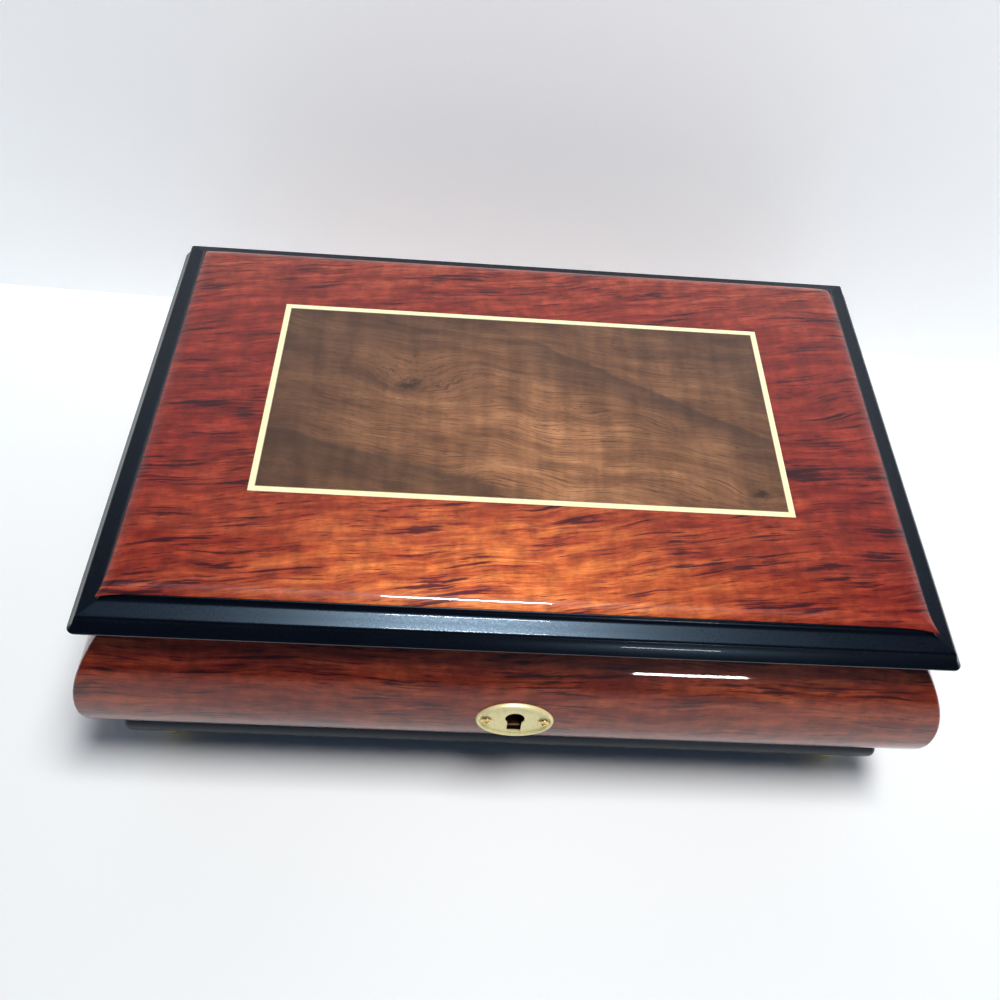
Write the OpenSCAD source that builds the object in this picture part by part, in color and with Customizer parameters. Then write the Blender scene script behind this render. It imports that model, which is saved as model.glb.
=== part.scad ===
/* [Case] */
// Width of the lid over its moulding
lid_w = 290; // [280:1:330]
// Depth of the lid over its moulding, before the back edge is trimmed for the hinges
lid_d = 191; // [185:1:215]
// Width of the flat cut off the back of the lid
lid_back_trim = 4.5; // [4:0.1:5]
// How far the swelling sides stand out past the lid
bulge = 6.4; // [5:0.1:8]
// Thickness of the walls at the lid's edge, from the inside face
wall_in = 17; // [16:0.5:18]
// Height of the lid's lower edge above the table
lid_z = 87; // [86:0.5:89]
// Height of the bottom of the walls above the table
wall_z = 22.5; // [22:0.1:23]
// Height of the widest line of the walls above the table
bulge_z = 45; // [44:0.5:46]
// Radius of the swelling above its widest line
bulge_r_up = 50; // [49:0.5:52]
// Radius of the swelling below its widest line
bulge_r_down = 26; // [25:0.5:28]
// Height of the feet, up to the plinth
foot_h = 9; // [8.5:0.5:9.5]

/* [Lid] */
// Height of the lid above its lower edge
lid_h = 10.6; // [10.6:0.1:11]
// Thickness of the veneered panel let into the lid
veneer_t = 1.4; // [1.4:0.1:1.6]
// Margin of black moulding round the veneered field
margin = 10.7; // [10.4:0.1:11]
// Width of the inlaid frame, outside
inlay_w = 191.7; // [180:0.1:200]
// Depth of the inlaid frame, outside
inlay_d = 95.5; // [90:0.1:100]
// How far the inlaid frame lies behind the middle
inlay_back = 5.4; // [4:0.1:6]
// Width of the pale inlaid line
string_w = 2.4; // [2:0.1:3]

/* [Movement] */
// Number of teeth in the comb
comb_teeth = 30; // [24:1:30]
// Distance from one comb tooth to the next
comb_pitch = 1.2; // [1.2:0.05:1.25]
// Radius of the pinned cylinder
cyl_r = 6.5; // [6.3:0.1:6.6]
// How far a pin stands out of the cylinder
pin_h = 0.8; // [0.7:0.1:0.8]

/* [Hidden] */
$fn = 64;
eps = 0.01;
run = 0.05;             // running clearance round a shaft
gap = 0.3;              // air between the lid and the walls

black = "#0a0e18";
red_wood = "#8b3a28";
brown_wood = "#5c3a22";
pine = "#c8a878";
brass = "#c8a850";
steel = "#b0b4b8";
velvet = "#6e1420";

// the case
half_w = lid_w / 2;
half_d = lid_d / 2;
in_x = half_w - wall_in;
in_y = half_d - wall_in;
wall_top = lid_z - gap;
land_z = wall_top - 6.6;
floor_t = 5;
floor_z = wall_z + floor_t;
plinth_half_x = half_w - 1.2;
plinth_half_y = half_d - 1.2;
plinth_w = 20;
plinth_r = 7.4;
foot_in_x = 15;
foot_in_y = 9;
mitre = wall_in + bulge + 1;

// the lid and its hinges
lid_back = half_d - lid_back_trim;
field_x = half_w - margin;
field_y = half_d - margin;
field_z = lid_z + lid_h - veneer_t;
hinge_y = half_d - 5.3;
hinge_z = lid_z - gap / 2;
hinge_x = 92;
knuckle_r = 2.4;
hinge_pin_r = 1.1;
knuckle_l = 9;
hinge_l = 3 * knuckle_l;
leaf_t = 1.2;
leaf_d = 9;
leaf_screw_x = 8;
leaf_screw_y = 6;
leaf_screw_r = 1;

// the keyhole and the lock
key_z = 51;
lock_w = 28;
lock_back_y = -in_y;
lock_front_y = -in_y - 7.5;
lock_low = 41;
staple_x = 4;
staple_w = 2;
staple_low = 77.5;
bolt_t = 2;
bolt_rise = 2.9;
strike_w = 26;
strike_d = 7.2;
lock_screw_x = 13;
lock_screw_z = 60;
strike_screw_x = 10;
small_screw_r = 1.6;
small_shank_r = 0.4;
small_hole_r = 0.45;

// the movement bay
bay_x0 = -in_x;
bay_x1 = -26;
bay_y0 = -2;
wood_t = 3;
divider_top = 75;
pane_t = 2;
lining_t = 1;
bed_z = floor_z;
bed_t = 4;
bed_top = bed_z + bed_t;

// the barrel and the cylinder
barrel_x = -106;
cyl_y = 32;
axis_z = 46;
barrel_r = 17;
crown_mod = 0.6;
crown_z = 48;
pinion_z = 16;
crown_pitch_r = crown_mod * crown_z / 2;
pinion_pitch_r = crown_mod * pinion_z / 2;
crown_plane = axis_z - pinion_pitch_r;
barrel_z0 = 34;
barrel_z1 = crown_plane - 0.8;
arbor_r = 2;
cyl_x0 = -85;
cyl_x1 = -47;

// the train: teeth, pitch radii and the places of its arbors
mod = 0.5;
wheel1_z = 48;
pin1_z = 12;
wheel2_z = 30;
pin2_z = 10;
worm_wheel_z = 20;
worm_r = 2;
arbor1_y = cyl_y + mod * (wheel1_z + pin1_z) / 2;
arbor2_y = arbor1_y + mod * (wheel2_z + pin2_z) / 2;
worm_y = arbor2_y + mod * worm_wheel_z / 2 + worm_r;
worm_x = -34;
pivot_r = 0.8;
plate_in_x = -43;
plate_t = 1.5;
plate_out_x = -30.5;
fan_r = 5;
fan_z = 57;

// the stop plunger
plunger_x = -47;
plunger_y = 64;
plunger_r = 1.25;

// points of an arc in a polygon, from angle a0 to a1
function arc(c, r, a0, a1, n = 12) =
    [for (i = [0:n]) c + r * [cos(a0 + (a1 - a0) * i / n), sin(a0 + (a1 - a0) * i / n)]];

// angle at which an involute from base radius rb reaches radius r
function inv(rb, r) = let (a = acos(min(1, rb / r))) tan(a) * 180 / PI - a;

// a spur wheel with stub teeth and backlash, one tooth pointing along +X
module gear(m, z, t, bore = 0, backlash = 0.1) {
    pa = 25;
    rp = m * z / 2;
    rb = rp * cos(pa);
    ra = rp + 0.8 * m;
    rf = rp - 1.05 * m;
    half = 90 / z - backlash / (2 * rp) * 180 / PI + inv(rb, rp);
    rs = max(rb, rf + 0.02);
    radii = [for (i = [0:3]) rs + (ra - rs) * i / 3];
    right = [for (r = radii) [r, -(half - inv(rb, r))]];
    left = [for (i = [3:-1:0]) [radii[i], half - inv(rb, radii[i])]];
    tooth = concat([[rf, -half]], right, left, [[rf, half]]);
    linear_extrude(t) difference() {
        polygon([for (k = [0:z - 1]) for (p = tooth)
            p[0] * [cos(p[1] + 360 * k / z), sin(p[1] + 360 * k / z)]]);
        if (bore > 0) circle(bore);
    }
}

// turns a shape drawn along +Z so that it lies along +X, its own +X becoming +Y
module along_x(x, y, z) {
    translate([x, y, z]) rotate([90, 0, 90]) children();
}

// a plain rod along X
module rod_x(x0, x1, y, z, r) {
    along_x(x0, y, z) cylinder(h = x1 - x0, r = r);
}

module screw(head_r, head_t, shank_r, shank_l, slot = 0.7) {
    difference() {
        union() {
            cylinder(h = head_t, r = head_r);
            translate([0, 0, -shank_l]) cylinder(h = shank_l + eps, r = shank_r);
        }
        for (a = [0, 90])
            rotate(a) translate([-head_r * 0.7, -slot / 2, head_t * 0.5])
                cube([head_r * 1.4, slot, head_t]);
    }
}

// section of a swelling wall: x runs outwards from the inside face, y is height
module wall_section() {
    out = wall_in + bulge;
    up = asin((land_z - bulge_z) / bulge_r_up);
    down = asin((bulge_z - wall_z) / bulge_r_down);
    upper = arc([out - bulge_r_up, bulge_z], bulge_r_up, 0, up);
    lower = arc([out - bulge_r_down, bulge_z], bulge_r_down, -down, 0);
    land = [upper[12][0], wall_top];
    polygon(concat([[0, wall_z]], lower, [for (i = [1:12]) upper[i]], [land, [0, wall_top]]));
}

// mitred plan of one side of a frame, on the -Y side
module mitre_plan(hx, hy, out) {
    polygon([[-hx, -hy], [hx, -hy], [hx + out, -hy - out], [-hx - out, -hy - out]]);
}

module wall(hx, hy) {
    intersection() {
        translate([-hx - mitre, -hy, 0]) rotate([90, 0, 90]) mirror([1, 0, 0])
            linear_extrude(2 * (hx + mitre)) wall_section();
        translate([0, 0, wall_z - 1]) linear_extrude(lid_z) mitre_plan(hx, hy, mitre);
    }
}

// the keyhole: a round opening with a slot below it
module keyhole(y0, y1, grow = 0) {
    r = 3.4 + grow;
    slot_w = 5 + 2 * grow;
    low = 8 + grow;
    translate([0, y1, key_z + 1.2]) rotate([90, 0, 0]) cylinder(h = y1 - y0, r = r);
    translate([-slot_w / 2, y0, key_z + 1.2 - low]) cube([slot_w, y1 - y0, low]);
}

module lock_space() {
    translate([-lock_w / 2, lock_front_y, lock_low])
        cube([lock_w, lock_back_y - lock_front_y, wall_top - lock_low]);
}

// where the leaves of both hinges are let in
module leaf_box(z0, t, grow = 0) {
    for (s = [-1, 1])
        translate([s * hinge_x - hinge_l / 2 - grow, hinge_y - leaf_d, z0])
            cube([hinge_l + 2 * grow, leaf_d, t]);
}

module body_front() {
    color(red_wood) difference() {
        wall(in_x, in_y);
        lock_space();
        keyhole(-half_d - 20, lock_front_y + 1);
    }
}

module body_back() {
    color(red_wood) difference() {
        mirror([0, 1, 0]) wall(in_x, in_y);
        leaf_box(wall_top - leaf_t, leaf_t + 1);
    }
}

module body_left() {
    color(red_wood) rotate(-90) wall(in_y, in_x);
}

module body_right() {
    color(red_wood) rotate(90) wall(in_y, in_x);
}

module bottom_board() {
    color(pine) difference() {
        translate([-in_x, -in_y, wall_z]) cube([2 * in_x, 2 * in_y, floor_t]);
        translate([barrel_x, cyl_y, wall_z - 1]) cylinder(h = floor_t + 2, r = 5);
    }
}

// a strip of the plinth: bullnose outside, flat inside
module plinth_strip(hx, hy) {
    inner_x = hx - plinth_w;
    inner_y = hy - plinth_w;
    h = wall_z - foot_h;
    nose = sqrt(pow(plinth_r, 2) - pow(h / 2, 2));
    edge = acos(nose / plinth_r);
    section = concat([[0, 0]], arc([plinth_w - plinth_r, h / 2], plinth_r, -edge, edge),
        [[0, h]]);
    intersection() {
        translate([-hx - 1, -inner_y, foot_h]) rotate([90, 0, 90]) mirror([1, 0, 0])
            linear_extrude(2 * hx + 2) polygon(section);
        translate([0, 0, foot_h - 1]) linear_extrude(h + 2) mitre_plan(inner_x, inner_y, plinth_w + 1);
    }
}

module plinth_front() {
    color(black) plinth_strip(plinth_half_x, plinth_half_y);
}

module plinth_back() {
    color(black) mirror([0, 1, 0]) plinth_strip(plinth_half_x, plinth_half_y);
}

module plinth_left() {
    color(black) rotate(-90) plinth_strip(plinth_half_y, plinth_half_x);
}

module plinth_right() {
    color(black) rotate(90) plinth_strip(plinth_half_y, plinth_half_x);
}

// a turned foot: a flange over a ball with a small flat under it
module foot() {
    ball_r = 5.5;
    flat_r = 2.5;
    drop = sqrt(pow(ball_r, 2) - pow(flat_r, 2));
    side = acos(flat_r / ball_r);
    rotate_extrude() polygon(concat([[0, 0]], arc([0, drop], ball_r, -side, 25),
        [[4, foot_h - 1.2], [6.5, foot_h - 1.2], [6.5, foot_h], [0, foot_h]]));
}

module feet() {
    color(brass) for (sx = [-1, 1]) for (sy = [-1, 1])
        translate([sx * (plinth_half_x - foot_in_x), sy * (plinth_half_y - foot_in_y), 0]) foot();
}

plate_y = -half_d - bulge;
plate_thick = 1;
screw_x = 10;

module escutcheon() {
    oval_x = 13.65;
    oval_z = 9.4;
    color(brass) difference() {
        translate([0, plate_y, key_z]) rotate([90, 0, 0]) linear_extrude(plate_thick)
            polygon([for (a = [0:5:355]) [oval_x * cos(a), oval_z * sin(a)]]);
        keyhole(plate_y - 2, plate_y + 1);
        for (s = [-1, 1])
            translate([s * screw_x, plate_y + 1, key_z]) rotate([90, 0, 0]) cylinder(h = 3, r = 0.9);
    }
}

module escutcheon_screws() {
    color(brass) for (s = [-1, 1])
        translate([s * screw_x, plate_y - plate_thick, key_z]) rotate([90, 0, 0])
            screw(2, 0.6, 0.9, plate_thick, 0.5);
}

module lock_case() {
    wall_t = 0.8;
    slot_x0 = 2.6;
    slot_x1 = 7.4;
    inside_y0 = lock_front_y + wall_t;
    inside_y1 = lock_back_y - wall_t;
    color(brass) union() {
        difference() {
            lock_space();
            translate([-12, inside_y0, lock_low + wall_t])
                cube([24, inside_y1 - inside_y0, wall_top - lock_low - 2 * wall_t]);
            translate([slot_x0, inside_y0, wall_top - 2])
                cube([slot_x1 - slot_x0, inside_y1 - inside_y0, 3]);
            keyhole(lock_front_y - 1, inside_y0 + eps);
            for (s = [-1, 1]) translate([s * lock_screw_x, lock_back_y + 1, lock_screw_z])
                rotate([90, 0, 0]) cylinder(h = 3, r = small_hole_r);
        }
        translate([0, inside_y1 + eps, key_z + 1.2]) rotate([90, 0, 0])
            cylinder(h = 12, r = 1.6);
    }
}

// the sliding bolt: a nose that passes through the staple, and a tail down to the key
module lock_bolt() {
    x0 = -8;
    nose_end = staple_x - 0.6;
    nose_z = staple_low + 1.7;
    nose_h = 2.6;
    tail_w = 4;
    foot_z = 57;
    foot_w = 10;
    foot_t = 3;
    color(steel) translate([x0, lock_front_y + bolt_rise, 0]) {
        translate([0, 0, nose_z]) cube([nose_end - x0, bolt_t, nose_h]);
        translate([0, 0, foot_z + 1]) cube([tail_w, bolt_t, nose_z + 1 - foot_z]);
        translate([0, 0, foot_z]) cube([foot_w, bolt_t, foot_t]);
    }
}

// a plate let into the lid, with a staple whose eye takes the bolt
module strike_plate() {
    eye_side = 1;
    eye_w = bolt_t + 0.6;
    eye_foot = 1.2;
    eye_h = 3.8;
    color(brass) {
        difference() {
            translate([-strike_w / 2, lock_front_y, lid_z]) cube([strike_w, strike_d, leaf_t]);
            for (s = [-1, 1])
                translate([s * strike_screw_x, lock_front_y + strike_d / 2, lid_z - 1])
                    cylinder(h = leaf_t + 2, r = small_hole_r);
        }
        translate([staple_x, lock_front_y + bolt_rise - 0.3 - eye_side, staple_low]) difference() {
            cube([staple_w, eye_w + 2 * eye_side, lid_z + leaf_t - staple_low]);
            translate([-1, eye_side, eye_foot]) cube([staple_w + 2, eye_w, eye_h]);
        }
    }
}

// one knuckle of a hinge, or with grow the room that it turns in
module knuckle(from, to, grow = 0) {
    rod_x(from, to, hinge_y, hinge_z, knuckle_r + grow);
}

module hinge_half(outer) {
    h = hinge_l / 2;
    k = knuckle_l / 2;
    slip = 0.3;
    z0 = outer ? wall_top - leaf_t : lid_z;
    for (s = [-1, 1]) translate([s * hinge_x, 0, 0]) difference() {
        union() {
            difference() {
                translate([-h, hinge_y - leaf_d, z0]) cube([hinge_l, leaf_d, leaf_t]);
                if (outer) knuckle(-k - slip, k + slip, 0.4);
                else for (t = [-1, 1]) translate([t * (h - (h - k) / 2), 0, 0])
                    knuckle(-(h - k) / 2 - slip, (h - k) / 2 + slip, 0.4);
            }
            if (outer) for (t = [-1, 1]) translate([t * (h - (h - k) / 2), 0, 0])
                knuckle(-(h - k) / 2, (h - k) / 2);
            else knuckle(-k + slip, k - slip);
        }
        rod_x(-h - 1, h + 1, hinge_y, hinge_z, outer ? hinge_pin_r : hinge_pin_r + run);
        for (t = [-1, 1]) translate([t * leaf_screw_x, hinge_y - leaf_screw_y, z0 - 1])
            cylinder(h = leaf_t + 2, r = leaf_screw_r);
    }
}

module hinge_case_leaves() {
    color(brass) hinge_half(true);
}

module hinge_lid_leaves() {
    color(brass) hinge_half(false);
}

module hinge_pins() {
    color(brass) for (s = [-1, 1])
        rod_x(s * hinge_x - hinge_l / 2, s * hinge_x + hinge_l / 2, hinge_y, hinge_z, hinge_pin_r);
}

module leaf_screws(z) {
    for (s = [-1, 1]) for (t = [-1, 1])
        translate([s * hinge_x + t * leaf_screw_x, hinge_y - leaf_screw_y, z])
            cylinder(h = leaf_t, r = leaf_screw_r);
}

// wood screws that hold the hinge leaves down and the lock in its mortise
module case_hardware_screws() {
    color(brass) {
        leaf_screws(wall_top - leaf_t);
        for (s = [-1, 1]) translate([s * lock_screw_x, lock_back_y, lock_screw_z])
            rotate([-90, 0, 0]) screw(small_screw_r, 0.7, small_shank_r, 0.5, 0.4);
    }
}

module lid_screws() {
    color(brass) {
        leaf_screws(lid_z);
        for (s = [-1, 1]) translate([s * strike_screw_x, lock_front_y + strike_d / 2, lid_z])
            rotate([180, 0, 0]) screw(small_screw_r, 0.2, small_shank_r, leaf_t, 0.4);
    }
}

module divider_front() {
    color(brown_wood) translate([bay_x0 + lining_t, bay_y0 - wood_t, floor_z])
        cube([bay_x1 - bay_x0 - lining_t + wood_t, wood_t, divider_top - floor_z]);
}

module divider_side() {
    color(brown_wood) translate([bay_x1, bay_y0, floor_z])
        cube([wood_t, in_y - lining_t - bay_y0, divider_top - floor_z]);
}

module movement_pane() {
    play = 0.3;
    color("#cfe4e8", 0.35) difference() {
        translate([bay_x0 + play, bay_y0 - wood_t, divider_top])
            cube([bay_x1 + wood_t - bay_x0 - play, in_y + wood_t - bay_y0 - play, pane_t]);
        translate([plunger_x, plunger_y, divider_top - 1]) cylinder(h = pane_t + 2, r = 3);
    }
}

// the velvet on the floor of the two compartments round the bay
module compartment_plan(inset = 0) {
    difference() {
        translate([-in_x + inset, -in_y + inset]) square([2 * (in_x - inset), 2 * (in_y - inset)]);
        translate([-in_x - 1, bay_y0 - wood_t - inset])
            square([bay_x1 + wood_t + in_x + 1 + inset, in_y + wood_t - bay_y0 + 1 + inset]);
    }
}

module floor_lining() {
    color(velvet) translate([0, 0, floor_z]) linear_extrude(lining_t) compartment_plan(lining_t);
}

module wall_lining() {
    color(velvet) translate([0, 0, floor_z]) difference() {
        linear_extrude(divider_top - floor_z) difference() {
            compartment_plan();
            compartment_plan(lining_t);
        }
        translate([-lock_w / 2 - 1.5, -in_y - 1, lock_low - floor_z])
            cube([lock_w + 3, 5, divider_top]);
    }
}

// padded rolls that grip rings between them
roll_n = 5;
roll_r = 5.5;
roll_x0 = 30;
roll_pitch = 12.4;
roll_l = 62;

module ring_rolls() {
    color(velvet) for (i = [0:roll_n - 1])
        translate([roll_x0 + roll_pitch * i, in_y - 12 - roll_l, floor_z + lining_t + roll_r + 0.2])
            rotate([-90, 0, 0]) cylinder(h = roll_l, r = roll_r);
}

// the cast bedplate, with the rib that carries the comb
bed_x0 = -124;
bed_x1 = -27.5;
bed_y0 = 5;
bed_y1 = 74;
bed_screws = [[-120, 9], [-31, 9], [-120, 70], [-52, 70]];
comb_x0 = cyl_x0 + 1;
comb_w = comb_teeth * comb_pitch;
comb_base_y = 8;
comb_tip_y = cyl_y - cyl_r - pin_h - 0.12;
comb_z = axis_z - 1;
comb_screw_x = [comb_x0 + 5, comb_x0 + comb_w / 2, comb_x0 + comb_w - 5];

module bedplate() {
    color(brass) difference() {
        union() {
            translate([bed_x0, bed_y0, bed_z]) cube([bed_x1 - bed_x0, bed_y1 - bed_y0, bed_t]);
            translate([comb_x0, comb_base_y, bed_top - eps])
                cube([comb_w, 8, comb_z - 1.5 - bed_top + eps]);
        }
        translate([barrel_x, cyl_y, bed_z - 1]) cylinder(h = bed_t + 2, r = 3 + run);
        for (p = bed_screws) translate([p[0], p[1], bed_z - 1]) cylinder(h = bed_t + 2, r = 1.5);
        for (x = comb_screw_x) translate([x, comb_base_y + 4, comb_z - 8]) cylinder(h = 9, r = 1);
    }
}

module bedplate_screws() {
    color(steel) for (p = bed_screws) translate([p[0], p[1], bed_top]) screw(2.8, 1.4, 1.5, bed_t);
}

// the steel comb: a thick base and one tapering tooth for each note
module comb() {
    tooth_w = comb_pitch * 0.72;
    root_y = comb_base_y + 8.5;
    color(steel) difference() {
        translate([0, 0, comb_z - 1.5]) union() {
            translate([comb_x0, comb_base_y, 0]) cube([comb_w, 9, 2]);
            for (i = [0:comb_teeth - 1])
                translate([comb_x0 + comb_pitch * (i + 0.5) - tooth_w / 2, root_y, 1])
                    cube([tooth_w, comb_tip_y - root_y, 0.9]);
        }
        for (x = comb_screw_x) translate([x, comb_base_y + 4, comb_z - 3]) cylinder(h = 9, r = 1);
    }
}

module comb_screws() {
    color(steel) for (x = comb_screw_x)
        translate([x, comb_base_y + 4, comb_z + 0.5]) screw(2, 1.2, 1, 6);
}

module cylinder_bracket() {
    x = cyl_x0 - 3;
    color(brass) difference() {
        translate([x, cyl_y - 6, bed_top]) cube([2, 12, axis_z + 4 - bed_top]);
        rod_x(x - 1, x + 3, cyl_y, axis_z, 1.5 + run);
    }
}

module train_plate_inner() {
    color(brass) difference() {
        translate([plate_in_x, cyl_y - 6, bed_top])
            cube([plate_t, arbor2_y + 4 - cyl_y + 6, axis_z + 4 - bed_top]);
        for (y = [cyl_y, arbor1_y, arbor2_y])
            rod_x(plate_in_x - 1, plate_in_x + plate_t + 1, y, axis_z, pivot_r + run);
    }
}

module train_plate_outer() {
    color(brass) difference() {
        translate([plate_out_x, arbor1_y - 4, bed_top])
            cube([plate_t, arbor2_y - arbor1_y + 8, axis_z + 4 - bed_top]);
        for (y = [arbor1_y, arbor2_y])
            rod_x(plate_out_x - 1, plate_out_x + plate_t + 1, y, axis_z, pivot_r + run);
    }
}

// the two arms that carry the worm, on a post behind it
frame_low = 35;
frame_top = 64.5;
frame_t = 2;

module governor_frame() {
    post_y = worm_y + fan_r + 1.2;
    w = 7;
    color(brass) difference() {
        union() {
            translate([worm_x - w / 2, post_y, bed_top])
                cube([w, 2, frame_top + frame_t - bed_top]);
            for (z = [frame_low, frame_top])
                translate([worm_x - w / 2, worm_y - 3, z]) cube([w, post_y - worm_y + 4, frame_t]);
        }
        translate([worm_x, worm_y, frame_low - 1])
            cylinder(h = frame_top - frame_low + frame_t + 2, r = pivot_r + run);
    }
}

module barrel_bridge() {
    bridge_z = 42.6;
    leg = 4;
    color(brass) difference() {
        translate([barrel_x - 4, cyl_y - 19 - leg, bed_top])
            cube([8, 2 * (19 + leg), bridge_z + 1.8 - bed_top]);
        translate([barrel_x - 5, cyl_y - 19, bed_top - 1]) cube([10, 38, bridge_z - bed_top + 1]);
        translate([barrel_x, cyl_y, bridge_z - 1]) cylinder(h = 4, r = arbor_r + run);
    }
}

module stop_guide() {
    w = 5;
    post_y = plunger_y + 2.5;
    color(brass) difference() {
        union() {
            translate([plunger_x - w / 2, post_y, bed_top]) cube([w, 2, 70 - bed_top]);
            for (z = [52, 68])
                translate([plunger_x - w / 2, plunger_y - 2.5, z]) cube([w, 6, 2]);
        }
        translate([plunger_x, plunger_y, bed_top + 1]) cylinder(h = 60, r = plunger_r + run);
    }
}

// rises as the lid opens, and lets the air brake go
module stop_plunger() {
    arm_z = fan_z + 5.6;
    color(steel) {
        translate([plunger_x, plunger_y, 50]) cylinder(h = lid_z - 2 - 50, r = plunger_r);
        translate([plunger_x, plunger_y - 0.6, arm_z - 4]) cube([7, 1.2, 1.2]);
    }
}

// section of the lid's black moulding: x is the inset from the edge, y the height above it
function moulding() = concat(
    arc([1.3, 1.3], 1.3, 270, 170, 5),
    [[2.9, 5.8]],
    arc([3.8, 5.6], 0.9, 160, 100, 3),
    [[8.4, 7.1]],
    arc([8.2, 9.2], 2.1, 275, 350, 4),
    [[margin, lid_h - veneer_t]]);

module lid_profile(half) {
    side = moulding();
    polygon(concat([for (p = side) [half - p[0], p[1]]],
        [for (i = [len(side) - 1:-1:0]) [-half + side[i][0], side[i][1]]]));
}

module lid_solid() {
    intersection() {
        translate([-half_w - 1, 0, lid_z]) rotate([90, 0, 90])
            linear_extrude(lid_w + 2) lid_profile(half_d);
        translate([0, half_d + 1, lid_z]) rotate([90, 0, 0])
            linear_extrude(lid_d + 2) lid_profile(half_w);
        translate([-half_w, -half_d, lid_z - 1]) cube([lid_w, half_d + lid_back, lid_h + 2]);
    }
}

module lid_board() {
    color(black) difference() {
        lid_solid();
        leaf_box(lid_z - 1, leaf_t + 1);
        for (s = [-1, 1]) translate([s * hinge_x - hinge_l / 2 - 0.4, hinge_y - 3, lid_z - 1])
            cube([hinge_l + 0.8, 8, knuckle_r + 1.5]);
        translate([-strike_w / 2, lock_front_y, lid_z - 1]) cube([strike_w, strike_d, leaf_t + 1]);
    }
}

// the veneered field, with its edges rolled over
module field_profile(half) {
    roll = 4.5;
    drop = 1.1;
    r = (roll * roll + drop * drop) / (2 * drop);
    a = asin(roll / r);
    edge = arc([half - roll, veneer_t - r], r, 90, 90 - a, 6);
    polygon(concat([[half, 0]], [for (i = [6:-1:0]) edge[i]],
        [for (i = [0:6]) [-edge[i][0], edge[i][1]]], [[-half, 0]]));
}

module inlay_plan(inset) {
    translate([-inlay_w / 2 + inset, inlay_back - inlay_d / 2 + inset])
        square([inlay_w - 2 * inset, inlay_d - 2 * inset]);
}

module lid_veneer() {
    color(red_wood) difference() {
        intersection() {
            translate([-half_w, 0, field_z]) rotate([90, 0, 90])
                linear_extrude(lid_w) field_profile(field_y);
            translate([0, half_d, field_z]) rotate([90, 0, 0])
                linear_extrude(lid_d) field_profile(field_x);
        }
        translate([0, 0, field_z - 1]) linear_extrude(veneer_t + 2) inlay_plan(0);
    }
}

module stringing() {
    color("#f2e6b8") translate([0, 0, field_z]) linear_extrude(veneer_t) difference() {
        inlay_plan(0);
        inlay_plan(string_w);
    }
}

module walnut_panel() {
    color(brown_wood) translate([0, 0, field_z]) linear_extrude(veneer_t) inlay_plan(string_w);
}

module lid_lining() {
    edge = 5;
    thick = 1.5;
    color(velvet) translate([-in_x + edge, -in_y + edge, lid_z - thick])
        cube([2 * (in_x - edge), 2 * (in_y - edge), thick]);
}

// the key wing and its socket under the base
module winding_key() {
    stem_r = 3.2;
    wing_x = 26;
    wing_z = 10;
    low = 3.6;
    color(brass) translate([barrel_x, cyl_y, 0]) difference() {
        union() {
            translate([0, 0, low + wing_z - 2]) cylinder(h = 8.5, r = stem_r);
            difference() {
                hull() for (s = [-1, 1])
                    translate([s * (wing_x - wing_z) / 2, 1.2, low + wing_z / 2])
                        rotate([90, 0, 0]) cylinder(h = 2.4, r = wing_z / 2, $fn = 32);
                for (s = [-1, 1]) translate([s * (wing_x - wing_z) / 2, 2, low + wing_z / 2])
                    rotate([90, 0, 0]) cylinder(h = 4, r = 2.4);
            }
        }
        translate([0, 0, low + wing_z]) cylinder(h = 9, r = 1.7);
    }
}

// threaded foot for the key, a journal in the bedplate, the ratchet's seat and the spring's core
module winding_arbor() {
    color(steel) translate([barrel_x, cyl_y, 0]) {
        translate([0, 0, 13.7]) cylinder(h = wall_z + 1 - 13.7, r = 1.7);
        translate([0, 0, wall_z + 0.8]) cylinder(h = bed_top - wall_z, r = 3);
        translate([0, 0, bed_top]) cylinder(h = 44.2 - bed_top, r = arbor_r);
    }
}

ratchet_r = 8;
ratchet_n = 20;

module ratchet_wheel() {
    depth = 1;
    color(steel) translate([barrel_x, cyl_y, bed_top + 0.9]) linear_extrude(1) difference() {
        polygon([for (i = [0:ratchet_n - 1]) for (p = [[ratchet_r, 0], [ratchet_r - depth, 2]])
            p[0] * [cos(360 * i / ratchet_n + p[1]), sin(360 * i / ratchet_n + p[1])]]);
        circle(arbor_r);
    }
}

click_x = barrel_x + 6;
click_y = cyl_y - 13;

// the pawl that keeps the ratchet wheel from running back
module click() {
    tip = [barrel_x + 2.4, cyl_y - ratchet_r - 0.35];
    color(steel) translate([0, 0, bed_top + 0.9]) {
        linear_extrude(1) difference() {
            polygon([[click_x - 1.2, click_y - 1.6], [click_x + 1.9, click_y - 0.6],
                [click_x + 1.2, click_y + 1.8], tip, [tip[0] - 0.4, tip[1] - 0.7]]);
            translate([click_x, click_y]) circle(0.7 + run);
        }
    }
}

// the drum: a wall, a floor on top, and the crown of teeth on its rim
module barrel() {
    wall_t = 1.2;
    tooth_in = crown_pitch_r - 1.4;
    tooth_out = crown_pitch_r + 1.4;
    root_half = 0.27 * crown_mod * PI;
    tip_half = 0.1 * crown_mod * PI;
    tooth_h = 1.25;
    color(brass) translate([barrel_x, cyl_y, 0]) {
        difference() {
            translate([0, 0, barrel_z0]) cylinder(h = barrel_z1 - barrel_z0, r = barrel_r);
            translate([0, 0, barrel_z0 - 1])
                cylinder(h = barrel_z1 - barrel_z0 - wall_t + 1, r = barrel_r - wall_t);
            translate([0, 0, barrel_z0]) cylinder(h = 12, r = arbor_r + run);
        }
        for (i = [0:crown_z - 1]) rotate(360 * (i + 0.5) / crown_z)
            translate([tooth_in, 0, barrel_z1 - eps]) rotate([90, 0, 90])
                linear_extrude(tooth_out - tooth_in)
                    polygon([[-root_half, 0], [root_half, 0], [tip_half, tooth_h], [-tip_half, tooth_h]]);
    }
}

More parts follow.
